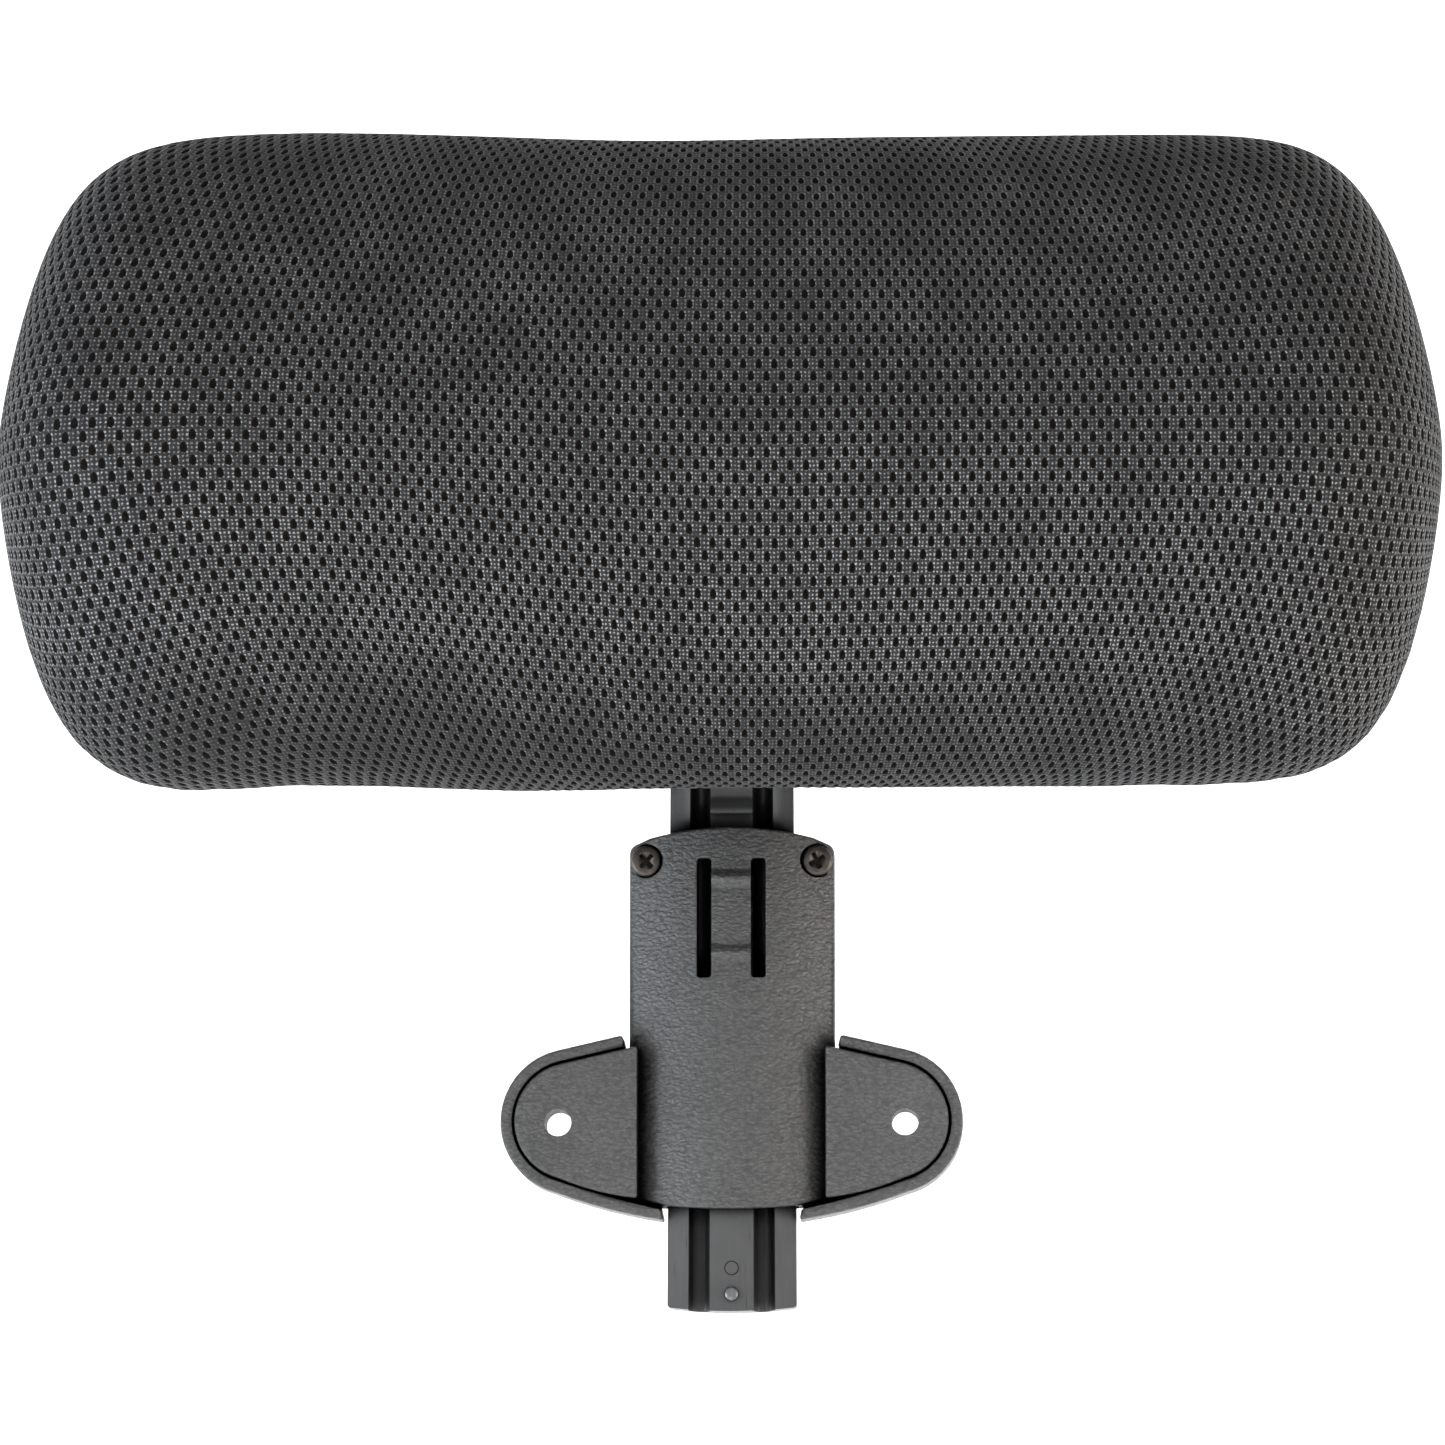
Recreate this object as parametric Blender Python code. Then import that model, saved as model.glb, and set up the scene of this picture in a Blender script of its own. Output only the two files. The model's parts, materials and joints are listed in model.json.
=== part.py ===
"""A height and tilt adjustable headrest for an office chair, as an assembly of separate pieces.

Frame: -Y towards the sitter's head, +Z up, +X to the right as seen from the sitter's side.
The origin lies midway between the two mounting holes, on the front plane of the mounting pads.
Sizes below are in millimetres and are turned into metres where a mesh is made.
"""

import math

import bmesh
import bpy
import numpy as np
from mathutils import Matrix, Vector

MM = 0.001
GAP = 0.3  # clearance between pieces that touch or nest

# Mounting pads and the tray rim round them
HOLE_SPACING = 80.0
HOLE_DIAMETER = 6.2
TIP_CENTRE = (36.5, 0.4)
TIP_RADIUS = 16.9
TOP_EDGE_NORMAL = 77.0
BOTTOM_EDGE_NORMAL = -75.6
BOTTOM_EDGE_BOW = 0.7
RIM_WALL = 2.6
PAD_INSET = 3.3
PAD_INNER_X = 21.7
RIM_TOP_END_X = 25.2
RIM_BOTTOM_END_X = 15.6
RIM_FRONT_Y = 0.8
FRONT_BACK_Y = 9.0
TRAY_FRONT_Y = FRONT_BACK_Y + GAP
TRAY_BACK_Y = 12.0
BOSS_DIAMETER = 11.0

# Sleeve
SLEEVE_HALF_WIDTH = 23.8
CROWN_Y = -1.0
CROWN_RADIUS = 44.3
SLEEVE_WALL = 2.5
SLEEVE_TOP_Z = 68.4
SLEEVE_SHOULDER_Z = 65.2
SLEEVE_CORNER_RADIUS = 2.2
SLEEVE_BOTTOM_Z = -19.9
SLEEVE_BOTTOM_SIDE_Z = -19.0
SLEEVE_FLANK_LOW_Z = -17.1
BOX_BACK_Y = 15.5
PANEL_HALF_WIDTH = 16.0
PANEL_Z = (-12.0, 57.0)
PANEL_DEPTH = 0.8
PANEL_RIBS_Z = (33.0, 38.0, 43.0)
PANEL_RIB_HALF_WIDTH = 9.0
CHANNEL_HALF_WIDTH = 15.3
CHANNEL_BACK_Y = 12.4
SLOT_NEAR_X = 4.55
SLOT_FAR_X = 8.0
SLOT_LOW_Z = 33.4
SLOT_HIGH_Z = 61.2
TONGUE_RIDGES_Z = (39.0, 56.4)
TONGUE_RIDGE_HALF_HEIGHT = 3.0
TONGUE_RIDGE_RISE = 1.5
STOP_RIB_Z = 9.0
PIN_GROOVE_HALF_WIDTH = 2.35
PIN_GROOVE_FLOOR_Y = 0.7

# Sleeve screws
SCREW_X = 19.8
SCREW_Z = 61.0
SCREW_SEAT_Y = 5.0
SCREW_SEAT_DIAMETER = 7.9
SCREW_HEAD_DIAMETER = 7.1
SCREW_HEAD_HEIGHT = 2.2
SCREW_SHANK_DIAMETER = 3.0
SCREW_LENGTH = 9.0

# Post
POST_HALF_WIDTH = 14.9
POST_TAPER = 0.037
POST_BACK_Y = 12.0
POST_LOW_Z = -43.3
POST_CORNER_LOW_Z = -42.3
STRIP_HALF_WIDTH = 5.05
STRIP_Y = 2.2
GROOVE_FAR_X = 10.0
GROOVE_FLOOR_Y = 6.4
FLANK_NEAR_Y = 3.3
FLANK_FAR_Y = 4.7
TOOTH_PITCH = 15.8
TOP_TOOTH_Z = 72.0
TOOTH_COUNT = 4
TOOTH_DEPTH = 1.3
COLLAR_LOW_Z = 84.0
COLLAR_HIGH_Z = 90.0
COLLAR_HALF_WIDTH = 18.0
COLLAR_FRONT_Y = -0.5
NECK_HALF_WIDTH = 12.0
NECK_FRONT_Y = 3.0
POCKET_HALF_WIDTH = 10.6
POCKET_FLOOR_Y = 8.8
POCKET_COUNT = 8
POCKET_RIB = 1.8
STOP_PIN_Z = -39.4
STOP_PIN_DIAMETER = 3.2
GATE_MARK_Z = -33.4
GATE_MARK_DIAMETER = 3.4

# Friction hinge
PIVOT_Y = 7.0
PIVOT_Z = 147.0
KNUCKLE_RADIUS = 9.0
BOLT_DIAMETER = 6.0
BORE_DIAMETER = BOLT_DIAMETER + 2 * GAP
WASHER_DIAMETER = 17.0
WASHER_THICKNESS = 1.0
EAR_THICKNESS = 4.0
EAR_INNER_X = NECK_HALF_WIDTH + WASHER_THICKNESS + 2 * GAP
EAR_OUTER_X = EAR_INNER_X + EAR_THICKNESS
EAR_RADIUS = 9.5
BOLT_HEAD_DIAMETER = 10.0
BOLT_HEAD_HEIGHT = 4.0
SPRING_WASHER_DIAMETER = 11.0
SPRING_WASHER_THICKNESS = 1.5
NUT_ACROSS_FLATS = 10.0
NUT_HEIGHT = 5.0
CAP_WALL = 1.5

# Headrest
CUSHION_Z = 147.5
CUSHION_HALF_WIDTH = 164.0
CUSHION_HALF_HEIGHT = 75.5
END_EXPONENT = 9.5
SIDE_EXPONENT = 1.65
SILHOUETTE_Y = -38.0
FRONT_DEPTH = 48.0
END_PULL_IN = 30.0
COVER_THICKNESS = 2.5
COVER_BACK_Y = -25.6
COVER_OPENING_INSET = 22.0
FOAM_BACK_Y = -34.4
BOARD_FRONT_Y = -34.0
BOARD_BACK_Y = -28.5
BOARD_INSET = 9.0
SHELL_FRONT_Y = COVER_BACK_Y + GAP
SHELL_BACK_Y = -20.0
SHELL_WALL = 2.5
SHELL_INSET = 15.0
OUTLINE_POINTS = 40
FRONT_RING_DEGREES = (0, 22, 44, 66, 85)
YOKE_PLATE_HALF_WIDTH = 28.0
YOKE_PLATE_HALF_HEIGHT = 22.0
YOKE_PLATE_BACK_Y = -16.0
YOKE_SCREW_X = 22.0
YOKE_SCREW_Z = 14.0
SHELL_SCREW_X = 95.0
SHELL_SCREW_Z = 32.0
WOOD_SCREW_HEAD_DIAMETER = 8.0
TEE_NUT_DIAMETER = 12.0
TEE_NUT_SIDES = 12
TEE_SLEEVE_DIAMETER = 6.0
TEE_FLANGE_THICKNESS = 1.2
YOKE_SCREW_DIAMETER = 4.0
YOKE_SCREW_LENGTH = 16.0
SHELL_SCREW_SINK = 2.0
SHELL_SCREW_LENGTH = 10.0


def clear_scene():
    for obj in list(bpy.data.objects):
        bpy.data.objects.remove(obj, do_unlink=True)


def finish(name, colour, roughness, metallic=0.0):
    """A plain Principled material."""
    material = bpy.data.materials.new(name)
    material.use_nodes = True
    shader = material.node_tree.nodes["Principled BSDF"]
    shader.inputs["Base Color"].default_value = (*colour, 1.0)
    shader.inputs["Roughness"].default_value = roughness
    shader.inputs["Metallic"].default_value = metallic
    material.diffuse_color = (*colour, 1.0)
    return material


def add_object(name, mesh_data):
    """An object from a bmesh in millimetres, with its faces turned outward."""
    bmesh.ops.recalc_face_normals(mesh_data, faces=mesh_data.faces[:])
    bmesh.ops.scale(mesh_data, vec=(MM, MM, MM), verts=mesh_data.verts[:])
    mesh = bpy.data.meshes.new(name)
    mesh_data.to_mesh(mesh)
    mesh_data.free()
    obj = bpy.data.objects.new(name, mesh)
    bpy.context.scene.collection.objects.link(obj)
    return obj


def shade(obj, material, angle=32.0):
    """The object's one material, smooth round stretches and sharp edges."""
    obj.data.materials.clear()
    obj.data.materials.append(material)
    obj.data.shade_smooth()
    obj.data.set_sharp_from_angle(angle=math.radians(angle))
    return obj


def settle(obj):
    """Replaces the object's mesh by its evaluated one and drops its modifiers."""
    graph = bpy.context.evaluated_depsgraph_get()
    mesh = bpy.data.meshes.new_from_object(obj.evaluated_get(graph))
    obj.modifiers.clear()
    old = obj.data
    obj.data = mesh
    bpy.data.meshes.remove(old)
    return obj


def combine(body, tools, operation="DIFFERENCE"):
    """Cuts the tools from the body, joins them to it, or keeps what they share."""
    for tool in tools:
        step = body.modifiers.new("Boolean", "BOOLEAN")
        step.operation = operation
        step.solver = "EXACT"
        step.object = tool
    settle(body)
    for tool in tools:
        bpy.data.objects.remove(tool, do_unlink=True)
    return body


def round_edges(obj, width, segments=2, angle=40.0):
    step = obj.modifiers.new("Bevel", "BEVEL")
    step.width = width * MM
    step.segments = segments
    step.limit_method = "ANGLE"
    step.angle_limit = math.radians(angle)
    return settle(obj)


def place(axis, along, first, second):
    """A point from its place along one axis and its two coordinates across it."""
    if axis == "X":
        return Vector((along, first, second))
    if axis == "Y":
        return Vector((first, along, second))
    return Vector((first, second, along))


def loft(rings, name="tool"):
    """A closed body through rings of equal length, with a flat face at each end."""
    data = bmesh.new()
    loops = [[data.verts.new(point) for point in ring] for ring in rings]
    count = len(rings[0])
    for low, high in zip(loops, loops[1:]):
        for i in range(count):
            j = (i + 1) % count
            data.faces.new((low[i], low[j], high[j], high[i]))
    data.faces.new(loops[0][::-1])
    data.faces.new(loops[-1])
    return add_object(name, data)


def prism(outline, axis, low, high, name="tool"):
    """An outline, given across the axis, extruded along it."""
    return loft([[place(axis, along, *point) for point in outline] for along in (low, high)], name)


def box(x_range, y_range, z_range, name="tool"):
    corners = [(x_range[0], y_range[0]), (x_range[1], y_range[0])]
    corners += [(x_range[1], y_range[1]), (x_range[0], y_range[1])]
    return prism(corners, "Z", z_range[0], z_range[1], name)


def circle(radius, centre=(0.0, 0.0), count=24, start=0.0, sweep=360.0):
    """Points round a circle, or along an arc of it when the sweep is under 360 degrees."""
    steps = count if abs(sweep) >= 360.0 else count - 1
    angles = [math.radians(start + sweep * i / steps) for i in range(count)]
    return [(centre[0] + radius * math.cos(a), centre[1] + radius * math.sin(a)) for a in angles]


def rod(diameter, axis, low, high, centre=(0.0, 0.0), count=24, name="tool"):
    return prism(circle(diameter / 2, centre, count), axis, low, high, name)


def turned(profile, axis, centre=(0.0, 0.0), steps=28, name="tool"):
    """A solid of revolution: profile points are (radius, place along the axis), ends on the axis."""
    rings = []
    for radius, along in profile[1:-1]:
        rings.append([place(axis, along, *point) for point in circle(radius, centre, steps)])
    data = bmesh.new()
    loops = [[data.verts.new(point) for point in ring] for ring in rings]
    poles = [data.verts.new(place(axis, profile[k][1], *centre)) for k in (0, -1)]
    for i in range(steps):
        j = (i + 1) % steps
        for low, high in zip(loops, loops[1:]):
            data.faces.new((low[i], low[j], high[j], high[i]))
        data.faces.new((poles[0], loops[0][j], loops[0][i]))
        data.faces.new((poles[1], loops[-1][i], loops[-1][j]))
    return add_object(name, data)


def ring(outer, inner, axis, low, high, centre=(0.0, 0.0), count=28, name="tool"):
    """A flat washer as one closed body."""
    data = bmesh.new()
    corners = ((outer, low), (outer, high), (inner, high), (inner, low))
    loops = []
    for diameter, along in corners:
        points = circle(diameter / 2, centre, count)
        loops.append([data.verts.new(place(axis, along, *point)) for point in points])
    for k, loop in enumerate(loops):
        after = loops[(k + 1) % len(loops)]
        for i in range(count):
            j = (i + 1) % count
            data.faces.new((loop[i], loop[j], after[j], after[i]))
    return add_object(name, data)


def mirror_outline(points):
    """The left-hand copy of an outline given in X and another coordinate."""
    return [(-x, other) for x, other in points][::-1]


# ---- Fixed bracket ----


def edge_point(normal_degrees, inset, end_x, bow=0.0):
    """Points of a straight or slightly bowed wing edge, from its tangent point to end_x."""
    normal = math.radians(normal_degrees)
    side = 1.0 if normal_degrees > 0 else -1.0
    radius = TIP_RADIUS - inset
    start = (TIP_CENTRE[0] + radius * math.cos(normal), TIP_CENTRE[1] + radius * math.sin(normal))
    run = (start[0] - end_x) / abs(math.sin(normal))
    steps = 6 if bow else 1
    points = []
    for i in range(1, steps + 1):
        share = i / steps
        out = bow * 4 * share * (1 - share)
        x = start[0] - run * share * abs(math.sin(normal)) + out * math.cos(normal)
        z = start[1] + side * run * share * math.cos(normal) + out * math.sin(normal)
        points.append((x, z))
    return points


def wing_outline(inset, top_end_x, bottom_end_x):
    """The right-hand wing seen from the front, starting at the inner end of its top edge."""
    top = edge_point(TOP_EDGE_NORMAL, inset, top_end_x)
    sweep = BOTTOM_EDGE_NORMAL - TOP_EDGE_NORMAL
    tip = circle(TIP_RADIUS - inset, TIP_CENTRE, 20, TOP_EDGE_NORMAL, sweep)
    bottom = edge_point(BOTTOM_EDGE_NORMAL, inset, bottom_end_x, BOTTOM_EDGE_BOW)
    return top + tip + bottom


def crown_section(offset):
    """The sleeve's cross-section: an arched front on straight flanks, moved in by the offset."""
    radius = CROWN_RADIUS - offset
    half = SLEEVE_HALF_WIDTH - offset
    centre_y = CROWN_Y + CROWN_RADIUS
    half_angle = math.degrees(math.asin(half / radius))
    arc = circle(radius, (0.0, centre_y), 21, 270.0 - half_angle, 2 * half_angle)
    return arc + [(half, FRONT_BACK_Y), (-half, FRONT_BACK_Y)]


def sleeve_outline(half_width):
    """The sleeve seen from the front: arched top with rounded corners, gently curved bottom."""
    points = [(-half_width, SLEEVE_FLANK_LOW_Z)]
    for i in range(9):
        share = i / 4 - 1
        drop = SLEEVE_BOTTOM_SIDE_Z - SLEEVE_BOTTOM_Z
        points.append((RIM_BOTTOM_END_X * share, SLEEVE_BOTTOM_SIDE_Z - drop * (1 - share**2)))
    points.append((half_width, SLEEVE_FLANK_LOW_Z))
    rise = SLEEVE_TOP_Z - SLEEVE_SHOULDER_Z
    corner = SLEEVE_CORNER_RADIUS
    centre = (half_width - corner, SLEEVE_SHOULDER_Z - corner)
    points += circle(corner, centre, 6, 0.0, 72.0)
    for i in range(1, 16):
        x = (half_width - corner) * (1 - i / 8)
        points.append((x, SLEEVE_SHOULDER_Z + rise * (1 - (x / half_width) ** 2)))
    points += mirror_outline(circle(corner, centre, 6, 0.0, 72.0))
    return points


def front_housing(material):
    """The crowned sleeve front with its tongue and screw seats, and the two mounting pads."""
    body = prism(crown_section(0.0), "Z", SLEEVE_BOTTOM_Z - 5, SLEEVE_TOP_Z + 5, "front_housing")
    combine(body, [prism(sleeve_outline(SLEEVE_HALF_WIDTH), "Y", CROWN_Y - 5, FRONT_BACK_Y + 5)], "INTERSECT")
    round_edges(body, 0.5, 2, 50.0)
    pad = wing_outline(PAD_INSET, PAD_INNER_X, PAD_INNER_X)
    for outline in (pad, mirror_outline(pad)):
        plate = prism(outline, "Y", 0.0, FRONT_BACK_Y)
        round_edges(plate, 0.6, 2, 50.0)
        combine(body, [plate], "UNION")
    hollow = prism(crown_section(SLEEVE_WALL), "Z", SLEEVE_BOTTOM_Z - 9, SLEEVE_TOP_Z + 9)
    channel = box((-CHANNEL_HALF_WIDTH, CHANNEL_HALF_WIDTH), (CROWN_Y - 5, 40), (-50, 90))
    combine(hollow, [channel], "INTERSECT")
    deep_channel = box((-CHANNEL_HALF_WIDTH, CHANNEL_HALF_WIDTH), (6.0, 40), (-50, 90))
    pin_groove_width = (-PIN_GROOVE_HALF_WIDTH, PIN_GROOVE_HALF_WIDTH)
    pin_groove = box(pin_groove_width, (PIN_GROOVE_FLOOR_Y, 4.0), (SLEEVE_BOTTOM_Z - 7, STOP_RIB_Z))
    combine(hollow, [pin_groove], "UNION")
    combine(body, [hollow, deep_channel])
    pockets = []
    for side in (-1, 1):
        near, far = sorted((side * (CHANNEL_HALF_WIDTH + 2.0), side * (SLEEVE_HALF_WIDTH - 2.2)))
        pockets.append(box((near, far), (7.0, 20.0), (22.0, 54.0)))
        outline = wing_outline(PAD_INSET + 2.2, PAD_INNER_X + 2.5, PAD_INNER_X + 2.5)
        outline = outline if side > 0 else mirror_outline(outline)
        pocket = prism(outline, "Y", 2.8, 20.0)
        centre = (side * HOLE_SPACING / 2, 0.0)
        combine(pocket, [rod(BOSS_DIAMETER, "Y", 0.0, 30.0, centre)])
        pockets.append(pocket)
    combine(body, pockets)
    tools = []
    for side in (-1, 1):
        tools.append(rod(HOLE_DIAMETER, "Y", -5.0, 20.0, (side * HOLE_SPACING / 2, 0.0), 32))
        tools.append(rod(SCREW_SEAT_DIAMETER, "Y", -10.0, SCREW_SEAT_Y, (side * SCREW_X, SCREW_Z), 32))
        tools.append(rod(SCREW_SHANK_DIAMETER + 2 * GAP, "Y", 0.0, 20.0, (side * SCREW_X, SCREW_Z), 20))
        near, far = sorted((side * SLOT_NEAR_X, side * SLOT_FAR_X))
        slot = box((near, far), (-5.0, 4.0), (SLOT_LOW_Z, SLOT_HIGH_Z))
        round_edges(slot, 0.8, 3, 40.0)
        tools.append(slot)
    combine(body, tools)
    ridges = [tongue_ridge(z) for z in TONGUE_RIDGES_Z]
    ridges.append(box((-3.0, 3.0), (0.6, 1.9), (STOP_RIB_Z + 0.5, STOP_RIB_Z + 2.1)))
    combine(body, ridges, "UNION")
    return shade(body, material)


def tongue_ridge(z):
    """A raised smooth ridge across the tongue."""
    outline = []
    for i in range(13):
        share = i / 6 - 1
        rise = TONGUE_RIDGE_RISE * (0.5 + 0.5 * math.cos(math.pi * share))
        outline.append((CROWN_Y + 0.3 - rise, z + TONGUE_RIDGE_HALF_HEIGHT * share))
    outline += [(CROWN_Y + 1.4, z + TONGUE_RIDGE_HALF_HEIGHT), (CROWN_Y + 1.4, z - TONGUE_RIDGE_HALF_HEIGHT)]
    return prism(outline, "X", -SLOT_NEAR_X + 0.02, SLOT_NEAR_X - 0.02)


def rear_housing(material):
    """The tray with its rim round both pads, and the back half of the sleeve."""
    body = prism(rear_outline(SLEEVE_HALF_WIDTH), "Y", TRAY_FRONT_Y, BOX_BACK_Y, "rear_housing")
    round_edges(body, 1.6, 3, 50.0)
    front_skin = box((-60, 60), (0.0, TRAY_FRONT_Y + 1.7), (-60, 90))
    combine(body, [front_skin])
    combine(body, [prism(rear_outline(SLEEVE_HALF_WIDTH), "Y", TRAY_FRONT_Y, TRAY_FRONT_Y + 1.9)], "UNION")
    wing = wing_outline(0.0, RIM_TOP_END_X, RIM_BOTTOM_END_X)
    inside = wing_outline(RIM_WALL, 8.0, 8.0)
    for side in (1, -1):
        outer, inner = (wing, inside) if side > 0 else (mirror_outline(wing), mirror_outline(inside))
        tray = prism(outer, "Y", RIM_FRONT_Y, TRAY_BACK_Y)
        round_edges(tray, 0.7, 2, 60.0)
        combine(tray, [prism(inner, "Y", -5.0, TRAY_FRONT_Y)])
        combine(body, [tray], "UNION")
    tools = [box((-CHANNEL_HALF_WIDTH, CHANNEL_HALF_WIDTH), (-5.0, CHANNEL_BACK_Y), (-60, 90))]
    for side in (-1, 1):
        centre = (side * HOLE_SPACING / 2, 0.0)
        tools.append(rod(HOLE_DIAMETER, "Y", 0.0, 30.0, centre, 32))
        tools.append(rod(12.0, "Y", TRAY_BACK_Y - 0.8, 30.0, centre, 32))
        pilot = SCREW_SHANK_DIAMETER + 2 * GAP
        tools.append(rod(pilot, "Y", 0.0, SCREW_SEAT_Y + SCREW_LENGTH + 0.5, (side * SCREW_X, SCREW_Z), 20))
    panel = box((-PANEL_HALF_WIDTH, PANEL_HALF_WIDTH), (BOX_BACK_Y - PANEL_DEPTH, 30.0), PANEL_Z)
    tools.append(round_edges(panel, 2.5, 2))
    combine(body, tools)
    for z in PANEL_RIBS_Z:
        rib = box((-PANEL_RIB_HALF_WIDTH, PANEL_RIB_HALF_WIDTH), (BOX_BACK_Y - 1.5, BOX_BACK_Y), (z, z + 1.6))
        combine(body, [rib], "UNION")
    return shade(body, material)


def rear_outline(half_width):
    """The back of the sleeve seen from the front, a little shorter than the front."""
    low = SLEEVE_BOTTOM_SIDE_Z
    corner = SLEEVE_CORNER_RADIUS
    high = SLEEVE_SHOULDER_Z
    points = [(-half_width, low), (half_width, low)]
    points += circle(corner, (half_width - corner, high - corner), 6, 0.0, 90.0)
    points += circle(corner, (corner - half_width, high - corner), 6, 90.0, 90.0)
    return points


def cross_recess(seat_y, depth, reach, centre, turn):
    """The four-winged driver recess of a cross-head screw."""
    arms = []
    for k in (0, 1):
        angle = math.radians(turn + 90 * k)
        along = (math.cos(angle), math.sin(angle))
        across = (-math.sin(angle), math.cos(angle))
        corners = ((-reach, -0.45), (reach, -0.45), (reach, 0.45), (-reach, 0.45))
        outline = []
        for u, v in corners:
            x = centre[0] + u * along[0] + v * across[0]
            z = centre[1] + u * along[1] + v * across[1]
            outline.append((x, z))
        arms.append(prism(outline, "Y", seat_y - 9.0, seat_y - depth))
    return arms


def housing_screw(name, side, turn, material):
    """A pan-head screw: domed head on its seat, plain shank."""
    centre = (side * SCREW_X, SCREW_Z)
    seat = SCREW_SEAT_Y - GAP
    radius = SCREW_HEAD_DIAMETER / 2
    profile = [(0.0, seat - SCREW_HEAD_HEIGHT)]
    for i in range(1, 6):
        angle = math.radians(90 * i / 5)
        reach = radius * (0.55 + 0.45 * math.sin(angle)) if i > 1 else radius * 0.6
        profile.append((reach, seat - SCREW_HEAD_HEIGHT + 0.9 * (1 - math.cos(angle))))
    shank = SCREW_SHANK_DIAMETER / 2
    end = seat + SCREW_LENGTH
    profile += [(radius, seat), (shank, seat), (shank, end - 1.0), (shank * 0.5, end), (0.0, end)]
    body = turned(profile, "Y", centre, 22, name)
    combine(body, cross_recess(seat, 0.9, 2.0, centre, turn))
    return shade(body, material)


# ---- Post ----


def post_section():
    """The bar's cross-section: centre strip, two grooves and sloping flanks."""
    groove = circle(2.35, (7.5, GROOVE_FLOOR_Y - 2.35), 7, 180.0, -180.0)
    half = [(STRIP_HALF_WIDTH, STRIP_Y + TOOTH_DEPTH), (STRIP_HALF_WIDTH, groove[0][1])]
    half += groove
    half += [(GROOVE_FAR_X, groove[0][1]), (GROOVE_FAR_X, FLANK_NEAR_Y), (POST_HALF_WIDTH, FLANK_FAR_Y)]
    half += [(POST_HALF_WIDTH, POST_BACK_Y)]
    return half + mirror_outline(half)


def strip_profile(low, high):
    """The centre strip from the side: flat, with a catch edge and a hollow at each tooth."""
    floor = STRIP_Y + TOOTH_DEPTH
    points = [(STRIP_Y, low)]
    for k in range(TOOTH_COUNT - 1, -1, -1):
        edge = TOP_TOOTH_Z - k * TOOTH_PITCH
        points += [(STRIP_Y, edge - 4.6), (floor - 0.05, edge - 3.4), (floor - 0.05, edge)]
        points += [(STRIP_Y, edge), (STRIP_Y + 0.1, edge + 1.6), (floor - 0.3, edge + 3.4)]
        points += [(floor - 0.3, edge + 4.4), (STRIP_Y + 0.3, edge + 6.0), (STRIP_Y, edge + 7.2)]
    points += [(STRIP_Y, high), (GROOVE_FLOOR_Y + 1.5, high), (GROOVE_FLOOR_Y + 1.5, low)]
    return points


def slide_post(material):
    """The bar that slides in the sleeve, its stop collar, neck and hinge knuckle."""
    body = prism(post_section(), "Z", POST_LOW_Z, COLLAR_LOW_Z + 1, "slide_post")
    strip = prism(strip_profile(POST_LOW_Z, COLLAR_LOW_Z + 1), "X", -STRIP_HALF_WIDTH, STRIP_HALF_WIDTH)
    combine(body, [strip], "UNION")
    combine(body, [prism(post_outline(), "Y", -5.0, 20.0)], "INTERSECT")
    height = TOP_TOOTH_Z - POST_LOW_Z
    for vertex in body.data.vertices:
        vertex.co.x *= 1 - POST_TAPER * (vertex.co.z / MM - POST_LOW_Z) / height
    collar_width = (-COLLAR_HALF_WIDTH, COLLAR_HALF_WIDTH)
    collar = box(collar_width, (COLLAR_FRONT_Y, POST_BACK_Y), (COLLAR_LOW_Z, COLLAR_HIGH_Z))
    round_edges(collar, 1.0, 2)
    neck = box((-NECK_HALF_WIDTH, NECK_HALF_WIDTH), (NECK_FRONT_Y, POST_BACK_Y), (COLLAR_HIGH_Z - 2, PIVOT_Z))
    round_edges(neck, 0.8, 2)
    knuckle = rod(2 * KNUCKLE_RADIUS, "X", -NECK_HALF_WIDTH, NECK_HALF_WIDTH, (PIVOT_Y, PIVOT_Z), 36)
    combine(body, [collar, neck, knuckle], "UNION")
    combine(body, post_pockets() + [rod(BORE_DIAMETER, "X", -40.0, 40.0, (PIVOT_Y, PIVOT_Z), 24)])
    pin_hole = rod(STOP_PIN_DIAMETER - 0.8 + 2 * GAP, "Y", 0.0, 5.5, (0.0, STOP_PIN_Z), 20)
    mark_place = (0.0, GATE_MARK_Z)
    mark = ring(GATE_MARK_DIAMETER, GATE_MARK_DIAMETER - 0.5, "Y", 0.0, STRIP_Y + 0.15, mark_place, 24)
    combine(body, [pin_hole, mark])
    return shade(body, material)


def post_outline():
    """The bar seen from the front: a curved lower end with small round corners."""
    half = POST_HALF_WIDTH + 0.5
    points = []
    for i in range(15):
        x = (POST_HALF_WIDTH - 0.8) * (i / 7 - 1)
        rise = (POST_CORNER_LOW_Z - POST_LOW_Z) * (x / POST_HALF_WIDTH) ** 2
        points.append((x, POST_LOW_Z + rise))
    points += circle(0.8, (POST_HALF_WIDTH - 0.8, POST_CORNER_LOW_Z + 0.75), 5, 290.0, 70.0)
    points += [(half, POST_LOW_Z + 4), (half, 120.0), (-half, 120.0), (-half, POST_LOW_Z + 4)]
    points += mirror_outline(circle(0.8, (POST_HALF_WIDTH - 0.8, POST_CORNER_LOW_Z + 0.75), 5, 290.0, 70.0))
    return points


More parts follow.
